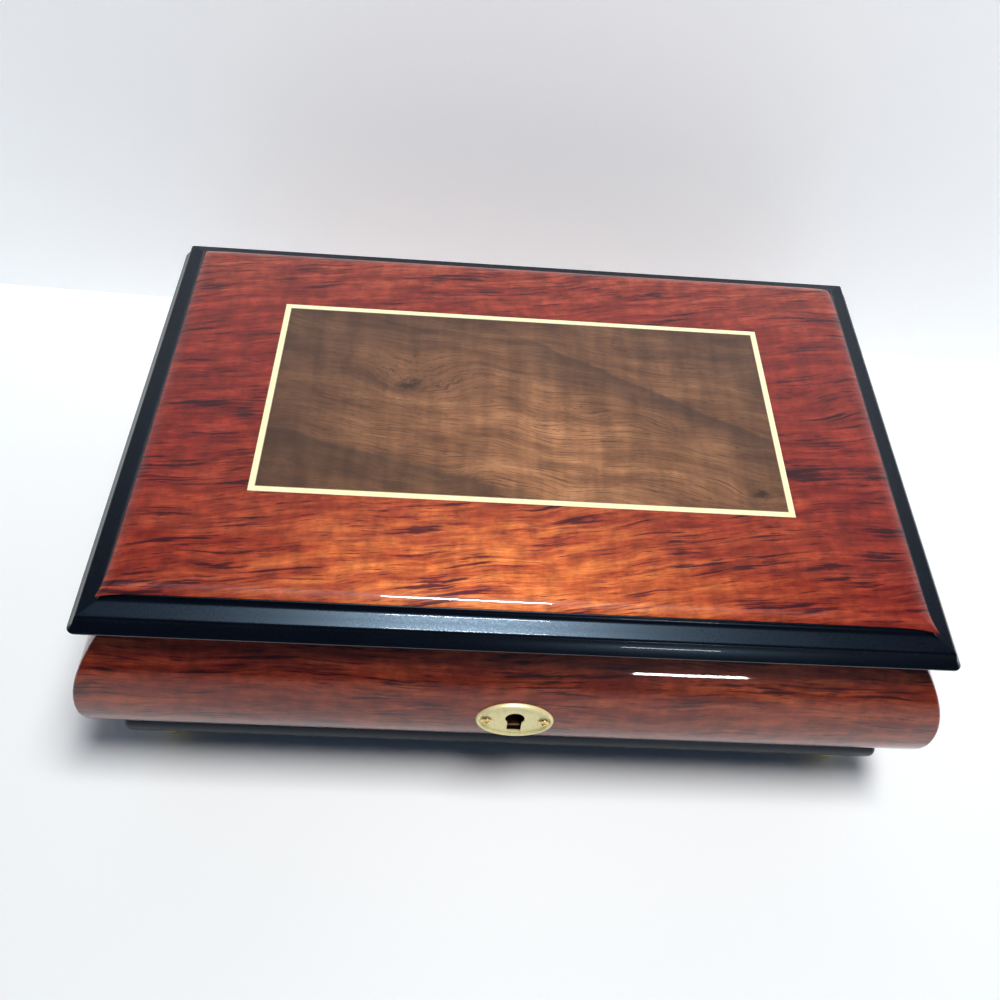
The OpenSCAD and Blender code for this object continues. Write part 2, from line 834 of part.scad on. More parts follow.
module barrel_cover() {
    color(brass) translate([barrel_x, cyl_y, barrel_z0]) difference() {
        cylinder(h = 0.8, r = barrel_r - 1.2);
        translate([0, 0, -1]) cylinder(h = 3, r = arbor_r + run);
    }
}

// the spring strip, wound in a spiral between the core and the drum
module mainspring() {
    turns = 6;
    r0 = 3.2;
    pitch = 2;
    strip = 0.4;
    steps = turns * 16;
    function at(i, off) = let (a = 360 * i / 16, r = r0 + pitch * i / 16 + off) r * [cos(a), sin(a)];
    color(steel) translate([barrel_x, cyl_y, barrel_z0 + 1]) linear_extrude(4)
        polygon(concat([for (i = [0:steps]) at(i, 0)], [for (i = [steps:-1:0]) at(i, strip)]));
}

module music_cylinder() {
    wall_t = 1;
    color(brass) difference() {
        rod_x(cyl_x0, cyl_x1, cyl_y, axis_z, cyl_r);
        rod_x(cyl_x0 + 2, cyl_x1 - 2, cyl_y, axis_z, cyl_r - wall_t);
        rod_x(cyl_x0 - 1, cyl_x1 + 1, cyl_y, axis_z, 1.5);
    }
}

// a tune of the builder's own: each note comes back after its own number of steps
tune_steps = 36;
pin_r = 0.22;

module cylinder_pins() {
    color(steel) for (i = [0:comb_teeth - 1]) for (k = [0:tune_steps - 1])
        if ((k * 7 + i * 11) % (9 + i % 4) == 0)
            along_x(comb_x0 + comb_pitch * (i + 0.5), cyl_y, axis_z)
                rotate(360 * (k + 0.5) / tune_steps) rotate([0, 90, 0])
                    translate([0, 0, cyl_r - 0.2]) cylinder(h = pin_h + 0.2, r = pin_r, $fn = 5);
}

// the cylinder's arbor, with the pinion that the barrel drives cut on its end
module cylinder_arbor() {
    x_pinion = barrel_x + crown_pitch_r - 1.1;
    color(steel) {
        along_x(x_pinion, cyl_y, axis_z) rotate(-90) gear(crown_mod, pinion_z, 2.2, 0, 0.16);
        rod_x(x_pinion, cyl_x1 + 0.5, cyl_y, axis_z, 1.5);
        rod_x(cyl_x1, plate_in_x - 0.4, cyl_y, axis_z, 1.5);
        rod_x(plate_in_x - 0.5, plate_in_x + plate_t, cyl_y, axis_z, pivot_r);
    }
}

module cylinder_wheel() {
    color(brass) along_x(cyl_x1 + 0.6, cyl_y, axis_z) gear(mod, wheel1_z, 1.4, 1.5);
}

module first_arbor() {
    color(steel) {
        along_x(cyl_x1 + 0.4, arbor1_y, axis_z) rotate(180 + 180 / pin1_z) gear(mod, pin1_z, 2);
        rod_x(cyl_x1 + 0.4, plate_out_x + plate_t, arbor1_y, axis_z, pivot_r);
        rod_x(plate_in_x + plate_t + 0.3, plate_out_x - 0.3, arbor1_y, axis_z, 1.2);
    }
}

wheel2_x = plate_in_x + plate_t + 0.9;

module first_wheel() {
    color(brass) along_x(wheel2_x, arbor1_y, axis_z) gear(mod, wheel2_z, 1.2, 1.2);
}

module second_arbor() {
    color(steel) {
        along_x(wheel2_x - 0.3, arbor2_y, axis_z) rotate(180 + 180 / pin2_z) gear(mod, pin2_z, 1.8);
        rod_x(plate_in_x, plate_out_x + plate_t, arbor2_y, axis_z, pivot_r);
        rod_x(plate_in_x + plate_t + 0.3, plate_out_x - 0.3, arbor2_y, axis_z, 1.2);
    }
}

module worm_wheel() {
    w = 1.2;
    color(brass) along_x(worm_x - w / 2, arbor2_y, axis_z) gear(mod, worm_wheel_z, w, 1.2, 0.3);
}

// one thread wound round the spindle; its groove faces the wheel at the wheel's middle
module worm() {
    lead = PI * mod;
    turns = 4;
    root = worm_r - 1.05 * mod;
    tip = worm_r + 0.72 * mod;
    span = 105;
    flank = 50;
    sides = 18;
    function radius(a) = root + (tip - root) * min(1, max(0, (span - a) / flank));
    color(steel) translate([worm_x, worm_y, 0]) {
        translate([0, 0, axis_z - turns * lead / 2])
            linear_extrude(height = turns * lead, twist = -360 * turns, slices = 12 * turns, $fn = 12)
                polygon([for (i = [0:sides - 1]) let (a = 360 * i / sides, off = abs(180 - a))
                    radius(off) * [cos(a - 90), sin(a - 90)]]);
        translate([0, 0, frame_low + frame_t + 0.3])
            cylinder(h = frame_top - frame_low - frame_t - 0.6, r = 1.2);
        translate([0, 0, frame_low]) cylinder(h = frame_top - frame_low + frame_t, r = pivot_r);
    }
}

// two vanes on a collar, which beat the air and set the pace
module air_brake() {
    vane_h = 6;
    color(brass) translate([worm_x, worm_y, fan_z - 1]) difference() {
        union() {
            cylinder(h = vane_h, r = 1.9);
            translate([-fan_r, -0.25, 0]) cube([2 * fan_r, 0.5, vane_h]);
        }
        translate([0, 0, -1]) cylinder(h = vane_h + 2, r = 1.2);
    }
}

body_front();
body_back();
body_left();
body_right();
bottom_board();
plinth_front();
plinth_back();
plinth_left();
plinth_right();
feet();
escutcheon();
escutcheon_screws();
lock_case();
hinge_case_leaves();
hinge_pins();
case_hardware_screws();
divider_front();
divider_side();
movement_pane();
floor_lining();
wall_lining();
ring_rolls();
bedplate();
bedplate_screws();
comb();
comb_screws();
cylinder_bracket();
train_plate_inner();
train_plate_outer();
governor_frame();
barrel_bridge();
stop_guide();
lid_board();
lid_veneer();
stringing();
walnut_panel();
lid_lining();
strike_plate();
lid_screws();
hinge_lid_leaves();
lock_bolt();
winding_key();
winding_arbor();
ratchet_wheel();
click();
barrel();
barrel_cover();
mainspring();
music_cylinder();
cylinder_pins();
cylinder_arbor();
cylinder_wheel();
first_arbor();
first_wheel();
second_arbor();
worm_wheel();
worm();
air_brake();
stop_plunger();
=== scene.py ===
"""A wind up music box: a low lacquered box with an inlaid lid and a comb and cylinder movement."""
import bpy
import bmesh
import math
from mathutils import Matrix, Vector


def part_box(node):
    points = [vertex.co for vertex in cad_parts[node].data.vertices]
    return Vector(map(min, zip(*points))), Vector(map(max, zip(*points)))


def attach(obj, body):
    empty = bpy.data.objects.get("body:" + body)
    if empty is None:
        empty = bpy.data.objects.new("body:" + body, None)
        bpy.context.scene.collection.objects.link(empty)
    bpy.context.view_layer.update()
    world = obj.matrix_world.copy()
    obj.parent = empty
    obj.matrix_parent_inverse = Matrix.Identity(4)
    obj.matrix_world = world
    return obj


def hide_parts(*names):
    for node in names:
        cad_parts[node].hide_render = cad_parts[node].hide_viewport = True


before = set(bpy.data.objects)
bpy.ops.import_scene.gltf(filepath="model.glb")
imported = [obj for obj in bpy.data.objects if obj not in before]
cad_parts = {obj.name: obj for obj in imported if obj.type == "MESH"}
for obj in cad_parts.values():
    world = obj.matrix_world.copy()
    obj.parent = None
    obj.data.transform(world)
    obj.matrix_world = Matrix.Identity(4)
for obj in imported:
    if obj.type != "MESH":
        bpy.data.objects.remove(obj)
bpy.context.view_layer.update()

MM = 0.001


# ---------------------------------------------------------------- sizes, from the frame

def low(node):
    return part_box(node)[0]


def high(node):
    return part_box(node)[1]


IN_Y = -high("body_front").y
OUT_X = high("body_front").x
OUT_Y = -low("body_front").y
WALL_OUT = OUT_Y - IN_Y
IN_X = OUT_X - WALL_OUT
WALL_Z0 = low("body_front").z
WALL_TOP = high("body_front").z
PLINTH_X = high("plinth_front").x
PLINTH_Y = -low("plinth_front").y
PLINTH_Z0 = low("plinth_front").z
PLINTH_Z1 = high("plinth_front").z
PLINTH_IN = PLINTH_Y + high("plinth_front").y
LID_X = high("lid_board").x
LID_Y = -low("lid_board").y
LID_BACK = high("lid_board").y
LID_Z = low("lid_board").z
FIELD_X = high("lid_veneer").x
FIELD_Y = high("lid_veneer").y
FIELD_Z = low("lid_veneer").z
FACE_Z = high("lid_veneer").z
INLAY_LOW = low("stringing")
INLAY_HIGH = high("stringing")
PANEL_LOW = low("walnut_panel")
PANEL_HIGH = high("walnut_panel")
PLATE_LOW = low("escutcheon")
PLATE_HIGH = high("escutcheon")

# the walls' section
BULGE_Z = 45 * MM
BULGE_R_UP = 50 * MM
BULGE_R_DOWN = 26 * MM
LAND_H = 6.6 * MM

# the keyhole: a round hole with a slot below it
KEYHOLE_R = 3.4 * MM
KEYHOLE_Z = 52.2 * MM
SLOT_HALF = 2.5 * MM
SLOT_Z = 44.2 * MM

# the hinges' leaves, and the play round whatever is let into the wood
LEAF_LONG = 27 * MM
LEAF_THICK = 1.2 * MM
SLACK = 0.02 * MM


# ---------------------------------------------------------------- mesh helpers

def arc(cx, cz, r, a0, a1, n):
    """n + 1 points of an arc, from angle a0 to a1 in degrees."""
    turn = [math.radians(a0 + (a1 - a0) * i / n) for i in range(n + 1)]
    return [(cx + r * math.cos(a), cz + r * math.sin(a)) for a in turn]


def eased(points, radii, n=5):
    """The closed outline with each corner that has a radius rounded off."""
    out = []
    count = len(points)
    for i, (p, r) in enumerate(zip(points, radii)):
        if r <= 0:
            out.append(p)
            continue
        p = Vector(p)
        before = Vector(points[i - 1]) - p
        after = Vector(points[(i + 1) % count]) - p
        a = p + before.normalized() * min(r, before.length * 0.45)
        b = p + after.normalized() * min(r, after.length * 0.45)
        for k in range(n + 1):
            t = k / n
            out.append(tuple(a * (1 - t) ** 2 + p * 2 * t * (1 - t) + b * t * t))
    return out


def finish_mesh(bm, name, smooth=35):
    bmesh.ops.recalc_face_normals(bm, faces=bm.faces)
    mesh = bpy.data.meshes.new(name)
    bm.to_mesh(mesh)
    bm.free()
    mesh.shade_smooth()
    mesh.set_sharp_from_angle(angle=math.radians(smooth))
    piece = bpy.data.objects.new(name, mesh)
    bpy.context.scene.collection.objects.link(piece)
    return piece


def side(name, hx, hy, section, corner, turn=0.0, spans=16):
    """A mitred side of a frame, turned about Z in degrees from the front.

    section holds (out, z) from the inside face round the outline.
    """
    bm = bmesh.new()
    rows = []
    for out, z in section:
        r = min(corner, max(out, 0.0))
        run = hx + out - r
        ends = [math.radians(-90 + 15 * k) for k in range(4)]
        right = [(run + r * math.cos(a), -(hy + out - r) + r * math.sin(a)) for a in ends]
        middle = [(run * (2 * k / spans - 1), -(hy + out)) for k in range(1, spans)]
        left = [(-x, y) for x, y in reversed(right)]
        rows.append([bm.verts.new((x, y, z)) for x, y in left + middle + right])
    for one, two in zip(rows, rows[1:] + rows[:1]):
        for k in range(len(one) - 1):
            bm.faces.new((one[k], one[k + 1], two[k + 1], two[k]))
    bm.faces.new([row[0] for row in rows])
    bm.faces.new([row[-1] for row in reversed(rows)])
    bmesh.ops.remove_doubles(bm, verts=bm.verts, dist=1e-6)
    bmesh.ops.rotate(bm, verts=bm.verts, matrix=Matrix.Rotation(math.radians(turn), 3, "Z"))
    return finish_mesh(bm, name)


def skin(bm, loops):
    """Joins closed loops of equal length, one after another, with four-sided faces."""
    for one, two in zip(loops, loops[1:]):
        for k in range(len(one)):
            j = (k + 1) % len(one)
            bm.faces.new((one[k], one[j], two[j], two[k]))


def lathe(name, outline, place, steps=48):
    """A turned piece from (radius, height) points."""
    bm = bmesh.new()
    rings = []
    for r, z in outline:
        if r < 1e-6:
            rings.append([bm.verts.new((0, 0, z))])
        else:
            angles = [2 * math.pi * k / steps for k in range(steps)]
            rings.append([bm.verts.new((r * math.cos(a), r * math.sin(a), z)) for a in angles])
    for one, two in zip(rings, rings[1:]):
        for k in range(steps):
            j = (k + 1) % steps
            corners = [one[k % len(one)], one[j % len(one)], two[j % len(two)], two[k % len(two)]]
            unique = list(dict.fromkeys(corners))
            if len(unique) > 2:
                bm.faces.new(unique)
    bmesh.ops.translate(bm, vec=Vector(place), verts=bm.verts)
    return finish_mesh(bm, name)


def block(name, lo, hi, ease=0.0, steps=3):
    """A block with eased edges."""
    bm = bmesh.new()
    bmesh.ops.create_cube(bm, size=1)
    size = Vector(hi) - Vector(lo)
    middle = (Vector(hi) + Vector(lo)) / 2
    for v in bm.verts:
        v.co = Vector(c * s for c, s in zip(v.co, size)) + middle
    if ease:
        bmesh.ops.bevel(bm, geom=bm.edges[:], offset=ease, segments=steps, affect="EDGES", profile=0.5)
    return finish_mesh(bm, name)


def join(name, pieces):
    """One object from several."""
    bm = bmesh.new()
    for p in pieces:
        bm.from_mesh(p.data)
        bpy.data.objects.remove(p)
    return finish_mesh(bm, name)


def cut(piece, *tools):
    """Takes the tools' shapes out of the piece, and removes them."""
    for tool in tools:
        change = piece.modifiers.new("cut", "BOOLEAN")
        change.operation = "DIFFERENCE"
        change.solver = "EXACT"
        change.object = tool
    bpy.context.view_layer.update()
    made = bpy.data.meshes.new_from_object(piece.evaluated_get(bpy.context.evaluated_depsgraph_get()))
    piece.modifiers.clear()
    piece.data = made
    piece.data.set_sharp_from_angle(angle=math.radians(35))
    for tool in tools:
        bpy.data.objects.remove(tool)


def dress(piece, material, body="case", replaces=()):
    """Gives a new piece its material and its body, and hides the nodes that it stands for."""
    piece.data.materials.clear()
    piece.data.materials.append(material)
    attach(piece, body)
    if replaces:
        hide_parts(*replaces)


# ---------------------------------------------------------------- materials

class Graph:
    """A material's nodes, with a short call for each kind that is used here."""

    def __init__(self, name):
        self.material = bpy.data.materials.new(name)
        self.material.use_nodes = True
        self.tree = self.material.node_tree
        self.shader = self.tree.nodes["Principled BSDF"]

    def put(self, socket, value):
        if isinstance(value, bpy.types.NodeSocket):
            self.tree.links.new(value, socket)
        else:
            socket.default_value = value

    def node(self, kind, inputs=None, **settings):
        made = self.tree.nodes.new(kind)
        for key, value in settings.items():
            setattr(made, key, value)
        for key, value in (inputs or {}).items():
            self.put(made.inputs[key], value)
        return made

    def finish(self, **values):
        """Sets the shader's own sockets, with _ for a space in their names."""
        for key, value in values.items():
            self.put(self.shader.inputs[key.replace("_", " ")], value)
        return self.material

    def math(self, operation, a, b=0.0, clamp=False):
        made = self.node("ShaderNodeMath", operation=operation, use_clamp=clamp)
        self.put(made.inputs[0], a)
        self.put(made.inputs[1], b)
        return made.outputs[0]

    def place(self, scale=1000.0):
        """The object's own coordinates, in millimetres by default."""
        coords = self.node("ShaderNodeTexCoord").outputs["Object"]
        made = self.node("ShaderNodeVectorMath", {0: coords}, operation="SCALE")
        made.inputs["Scale"].default_value = scale
        return made.outputs[0]

    def split(self, vector):
        return self.node("ShaderNodeSeparateXYZ", {0: vector}).outputs

    def combine(self, x, y, z=0.0):
        return self.node("ShaderNodeCombineXYZ", {"X": x, "Y": y, "Z": z}).outputs[0]

    def stretch(self, vector, scale, shift=(0, 0, 0)):
        made = self.node("ShaderNodeMapping", {"Vector": vector})
        made.inputs["Scale"].default_value = scale
        made.inputs["Location"].default_value = shift
        return made.outputs[0]

    def noise(self, vector, scale=1.0, detail=4.0, roughness=0.55, distortion=0.0):
        return self.node("ShaderNodeTexNoise", {
            "Vector": vector, "Scale": scale, "Detail": detail,
            "Roughness": roughness, "Distortion": distortion}).outputs["Fac"]

    def ramp(self, value, *stops):
        """Colour or grey by value: each stop is (place, colour)."""
        made = self.node("ShaderNodeValToRGB", {"Fac": value})
        points = made.color_ramp.elements
        while len(points) < len(stops):
            points.new(0.5)
        for point, (place, colour) in zip(points, stops):
            point.position = place
            grey = isinstance(colour, (int, float))
            point.color = (colour, colour, colour, 1) if grey else (*colour, 1)
        return made.outputs["Color"]

    def mix(self, factor, a, b, blend="MIX"):
        made = self.node("ShaderNodeMix", data_type="RGBA", blend_type=blend)
        self.put(made.inputs["Factor"], factor)
        for socket, value in ((made.inputs["A"], a), (made.inputs["B"], b)):
            flat = isinstance(value, tuple) and len(value) == 3
            self.put(socket, (*value, 1) if flat else value)
        return made.outputs["Result"]

    def bump(self, height, distance, strength=1.0):
        return self.node("ShaderNodeBump", {
            "Height": height, "Distance": distance, "Strength": strength}).outputs[0]


def scaled(colour, k):
    return tuple(c * k for c in colour)


def lacquer_ripple(g, place):
    """The faint unevenness of a sprayed and polished coat."""
    return g.bump(g.noise(place, 0.06, 2.0, 0.4), 0.00008, 0.5)


def noise_on(g, flat):
    """Makes a function that draws noise on one plane, with its own scale and shift each time."""
    def drawn(scale, shift, detail=3.0, roughness=0.6, of=flat):
        return g.noise(g.stretch(of, scale, shift), 1.0, detail, roughness)

    return drawn


def lacquered(g, color, place):
    """Wood under a thick clear coat."""
    return g.finish(Base_Color=color, Roughness=0.42, Coat_Weight=0.9, Coat_Roughness=0.03,
                    Coat_IOR=1.43, Specular_IOR_Level=0.12, Coat_Normal=lacquer_ripple(g, place))


def veneer(name, across, along, glow=None, seed=0.0, slope=0.0):
    """Lacquered red-brown veneer: grain along one axis, with dark streaks, pores and mottle."""
    g = Graph(name)
    p = g.stretch(g.place(), (1, 1, 1), (seed, seed * 0.7, seed * 0.3))
    axes = dict(zip("xyz", g.split(p)))
    run = axes[along]
    over = g.math("ADD", axes[across[0]], g.math("MULTIPLY", axes[across[1]], 0.35))
    flat = g.combine(run, over)
    drawn = noise_on(g, flat)

    def swing(scale, shift, amount):
        return g.math("MULTIPLY", g.math("SUBTRACT", drawn(scale, shift, 2.0, 0.5), 0.5), amount)

    sway = g.math("ADD", swing((1 / 95, 1 / 60, 1), (0, 0, 0), 17.0),
                  swing((1 / 24, 1 / 12, 1), (7, 3, 0), 2.4))
    lean = g.math("MULTIPLY", run, slope)
    bent = g.combine(run, g.math("ADD", g.math("SUBTRACT", over, lean), sway))

    tone = drawn((1 / 26, 1 / 4.5, 1), (0, 0, 0), 5.0, 0.66, bent)
    color = g.ramp(tone, (0.30, (0.185, 0.020, 0.010)), (0.46, (0.33, 0.062, 0.020)),
                   (0.58, (0.46, 0.115, 0.034)), (0.72, (0.58, 0.185, 0.060)))
    streak = drawn((1 / 22, 1 / 1.5, 1), (31, 5, 0), 4.0, 0.6, bent)
    patch = drawn((1 / 40, 1 / 9, 1), (3, 19, 0), 3.0, 0.55, bent)
    reach = g.math("ADD", streak, g.math("MULTIPLY", g.math("SUBTRACT", patch, 0.5), 0.75))
    halo = g.ramp(reach, (0.50, 0.0), (0.64, 0.75))
    color = g.mix(halo, color, (0.165, 0.018, 0.012))
    dark = g.ramp(reach, (0.615, 0.0), (0.655, 0.85), (0.76, 1.0))
    color = g.mix(dark, color, (0.048, 0.004, 0.011))
    line = g.ramp(drawn((1 / 9, 1 / 0.6, 1), (5, 11, 0), 2.0, 0.5, bent), (0.60, 0.0), (0.66, 0.9))
    where = g.ramp(drawn((1 / 22, 1 / 8, 1), (8, 2, 0), 2.0, 0.5, bent), (0.40, 0.0), (0.56, 1.0))
    color = g.mix(g.math("MULTIPLY", line, where), color, (0.075, 0.007, 0.010))
    pores = g.ramp(drawn((1 / 4.5, 1 / 0.26, 1), (2, 8, 0), 2.0, 0.5, bent), (0.60, 0.0), (0.68, 0.6))
    color = g.mix(pores, color, (0.10, 0.010, 0.008))
    mottle = g.ramp(drawn((1 / 5.5, 1 / 9, 1), (9, 1, 0)), (0.30, 0.72), (0.70, 1.30))
    color = g.mix(1.0, color, mottle, "MULTIPLY")
    # the glow function paints light and shade into the colour
    if glow:
        color = glow(g, p, color)
    return lacquered(g, color, p)


def lid_painted_light(g, p, color):
    """Painted light on the lid's veneer: a painted sheen makes it golden towards the front and deeper and
    redder at its sides and back, and a painted reflection makes the back paler.
    """
    x, y, _ = g.split(p)
    dx = g.math("MULTIPLY", g.math("ADD", x, 10.0), 1 / 150)
    dy = g.math("MULTIPLY", g.math("ADD", y, 90.0), 1 / 100)
    d = g.math("SQRT", g.math("ADD", g.math("MULTIPLY", dx, dx), g.math("MULTIPLY", dy, dy)))
    # painted sheen: bright and golden near the front middle, deeper and redder further out
    shade = g.ramp(d, (0.14, (1.85, 2.05, 1.55)), (0.58, (0.84, 0.56, 0.56)),
                   (0.98, (0.56, 0.22, 0.38)))
    # painted reflection of the pale wall: paler and greyer towards the back
    back = g.ramp(g.math("MULTIPLY", y, 0.01), (0.50, 1.0), (0.80, (1.25, 2.3, 2.2)))
    return g.mix(1.0, g.mix(1.0, color, shade, "MULTIPLY"), back, "MULTIPLY")


def wall_shade(g, p, color):
    """The walls' veneer is a deeper red than the lid's, with painted shadow under the lid and painted shade
    inside the keyhole.
    """
    tone = g.ramp(g.noise(p, 0.012, 2.0, 0.5), (0.35, (0.52, 0.26, 0.30)), (0.65, (0.86, 0.62, 0.55)))
    # painted shadow of the lid: darker towards the top of the walls
    height = g.math("MULTIPLY", g.math("SUBTRACT", g.split(g.place())[2], WALL_TOP / MM - 9), 1 / 9)
    painted_lid_shadow = g.ramp(height, (0.15, 1.0), (0.70, 0.25))
    color = g.mix(1.0, g.mix(1.0, color, tone, "MULTIPLY"), painted_lid_shadow, "MULTIPLY")
    # painted shade inside the keyhole: near black round the keyhole's middle, on the front wall only
    x, y, z = g.split(g.place(1 / 20 / MM))
    drop = g.math("SUBTRACT", z, 50 / 20)
    reach = g.math("SQRT", g.math("ADD", g.math("MULTIPLY", x, x), g.math("MULTIPLY", drop, drop)))
    hole = g.ramp(reach, (0.30, 1.0), (0.38, 0.0))
    front = g.math("LESS_THAN", y, 0.0)
    return g.mix(g.math("MULTIPLY", hole, front), color, (0.004, 0.002, 0.002))


def walnut():
    """Lacquered walnut: two knots, rippled figure and two dark seams that run down to the right."""
    g = Graph("walnut_veneer")
    p = g.place()
    x, y, _ = g.split(p)
    warp = g.math("MULTIPLY", g.math("SUBTRACT", g.noise(p, 0.22, 3.0, 0.6), 0.5), 7.0)
    pull = 0.0
    core = 0.0
    rings = 0.0
    for kx, ky, size, lift in ((-44.0, 12.0, 10.0, 8.0), (85.0, -33.0, 6.0, 5.0)):
        dx = g.math("MULTIPLY", g.math("SUBTRACT", g.math("ADD", x, warp), kx), 0.6)
        dy = g.math("SUBTRACT", g.math("ADD", y, warp), ky)
        d2 = g.math("ADD", g.math("MULTIPLY", dx, dx), g.math("MULTIPLY", dy, dy))
        near = g.math("EXPONENT", g.math("MULTIPLY", d2, -1 / (size * size)))
        pull = g.math("ADD", pull, g.math("MULTIPLY", near, lift))
        core = g.math("ADD", core, g.math("EXPONENT", g.math("MULTIPLY", d2, -14 / (size * size))))
        ring = g.math("SINE", g.math("MULTIPLY", g.math("SQRT", d2), 3.2))
        rings = g.math("ADD", rings, g.math("MULTIPLY", g.math("MULTIPLY", near, ring), 0.22))
    flat = g.combine(x, y)
    drawn = noise_on(g, flat)

    wander = g.math("MULTIPLY", g.math("SUBTRACT", drawn((1 / 24, 1 / 16, 1), (2, 9, 0), 4.0), 0.5), 9.0)
    sway = g.math("MULTIPLY", g.math("SUBTRACT", drawn((1 / 70, 1 / 40, 1), (4, 2, 0), 2.0), 0.5), 24.0)
    grain = g.math("ADD", g.math("ADD", y, g.math("MULTIPLY", x, 0.10)), g.math("ADD", sway, pull))
    bent = g.combine(x, grain)
    tone = drawn((1 / 50, 1 / 9, 1), (0, 0, 0), 5.0, 0.62, bent)
    color = g.ramp(tone, (0.30, (0.085, 0.036, 0.017)), (0.5, (0.185, 0.086, 0.040)),
                   (0.70, (0.300, 0.150, 0.070)))
    # painted sheen: brighter towards the panel's front middle, darker further out
    dx = g.math("MULTIPLY", g.math("SUBTRACT", x, 5.0), 1 / 130)
    dy = g.math("MULTIPLY", g.math("ADD", y, 22.0), 1 / 95)
    off = g.math("SQRT", g.math("ADD", g.math("MULTIPLY", dx, dx), g.math("MULTIPLY", dy, dy)))
    shade = g.ramp(off, (0.0, (1.85, 1.72, 1.62)), (0.85, (0.50, 0.47, 0.52)))
    color = g.mix(1.0, color, shade, "MULTIPLY")

    def seam(slope, height, width, sharp, shift):
        """Darkness below a slanting line: strongest at it, fading downwards."""
        under = g.math("SUBTRACT", g.math("SUBTRACT", height, g.math("MULTIPLY", x, slope)), y)
        under = g.math("ADD", under, wander)
        share = g.math("ADD", g.math("MULTIPLY", under, 1 / width), 0.2)
        return g.ramp(share, (0.2 - sharp, 0.0), (0.2, 0.74), (0.45, 0.45), (1.0, shift))

    upper = seam(0.52, 41.0, 34.0, 0.04, 0.0)
    side = g.ramp(g.math("ADD", g.math("MULTIPLY", x, 1 / 180), 0.5), (0.38, 0.0), (0.58, 1.0))
    color = g.mix(g.math("MULTIPLY", upper, side), color, (0.052, 0.026, 0.017))
    lower = seam(0.26, -38.0, 60.0, 0.06, 0.62)
    side = g.ramp(g.math("ADD", g.math("MULTIPLY", x, 1 / 180), 0.5), (0.42, 1.0), (0.56, 0.0))
    color = g.mix(g.math("MULTIPLY", lower, side), color, (0.046, 0.023, 0.014))
    fine = g.ramp(drawn((1 / 20, 1 / 0.5, 1), (1, 5, 0), 3.0, 0.6, bent), (0.50, 0.0), (0.64, 0.72))
    color = g.mix(fine, color, (0.070, 0.032, 0.017))
    pores = g.ramp(drawn((1 / 3.4, 1 / 0.22, 1), (6, 2, 0), 2.0, 0.5, bent), (0.60, 0.0), (0.67, 0.75))
    color = g.mix(pores, color, (0.036, 0.016, 0.009))
    ripple = g.ramp(drawn((1 / 6.5, 1 / 30, 1), (3, 3, 0), 2.0, 0.5), (0.34, 0.80), (0.66, 1.20))
    color = g.mix(1.0, color, ripple, "MULTIPLY")
    color = g.mix(g.math("MAXIMUM", rings, 0.0, True), color, (0.055, 0.028, 0.018))
    color = g.mix(g.math("MINIMUM", core, 0.85), color, (0.022, 0.010, 0.007))
    return lacquered(g, color, p)


def maple_line():
    """Pale inlay line: close straight grain, and a hairline of dark glue along its inner edge."""
    g = Graph("maple_line")
    p = g.place()
    x, y, _ = g.split(p)
    fleck = g.noise(g.stretch(p, (1 / 5, 1 / 5, 1)), 3.0, 4.0, 0.6)
    color = g.ramp(fleck, (0.35, (0.86, 0.78, 0.44)), (0.65, (0.94, 0.88, 0.58)))
    middle = (PANEL_LOW + PANEL_HIGH) / 2 / MM
    half = (PANEL_HIGH - PANEL_LOW) / 2 / MM
    over_x = g.math("SUBTRACT", g.math("ABSOLUTE", g.math("SUBTRACT", x, middle.x)), half.x)
    over_y = g.math("SUBTRACT", g.math("ABSOLUTE", g.math("SUBTRACT", y, middle.y)), half.y)
    inside = g.math("MAXIMUM", over_x, over_y)
    glue = g.ramp(inside, (0.16, 1.0), (0.34, 0.0))
    color = g.mix(g.math("MULTIPLY", glue, 0.9), color, (0.10, 0.05, 0.02))
    return lacquered(g, color, p)


def black_lacquer():
    """Black lacquer with a blue cast: a clear coat over a satin ground, dust, and wear at the corners."""
    g = Graph("black_lacquer")
    p = g.place()
    cloud = g.noise(p, 0.05, 3.0, 0.6)
    color = g.ramp(cloud, (0.3, (0.0010, 0.0016, 0.0040)), (0.7, (0.0018, 0.0028, 0.0070)))
    dust = g.ramp(g.noise(p, 2.4, 2.0, 0.5), (0.76, 0.0), (0.82, 0.5))
    color = g.mix(dust, color, (0.05, 0.055, 0.06))
    x, y, z = g.split(p)
    low_edge = g.ramp(g.math("ADD", g.math("MULTIPLY", g.math("SUBTRACT", z, LID_Z / MM), 0.5), 0.2),
                      (0.22, 1.0), (0.75, 0.0))
    ends = g.ramp(g.math("MULTIPLY", g.math("ABSOLUTE", x), MM / LID_X), (0.84, 0.0), (0.98, 1.0))
    lip = g.ramp(g.math("MULTIPLY", y, -MM / LID_Y), (0.984, 0.0), (0.992, 1.0))
    chips = g.ramp(g.noise(p, 1.1, 3.0, 0.7), (0.60, 0.0), (0.64, 1.0))
    worn = g.math("MULTIPLY", g.math("MULTIPLY", low_edge, ends), g.math("MULTIPLY", lip, chips))
    color = g.mix(worn, color, (0.30, 0.30, 0.31))
    grit = g.noise(p, 1.6, 3.0, 0.6)
    rough = g.ramp(grit, (0.3, 0.26), (0.75, 0.36))
    return g.finish(Base_Color=color, Roughness=rough, Coat_Weight=0.15, Coat_Roughness=0.03,
                    Specular_IOR_Level=0.26, Specular_Tint=(0.50, 0.74, 1.0, 1),
                    Coat_Normal=lacquer_ripple(g, p))


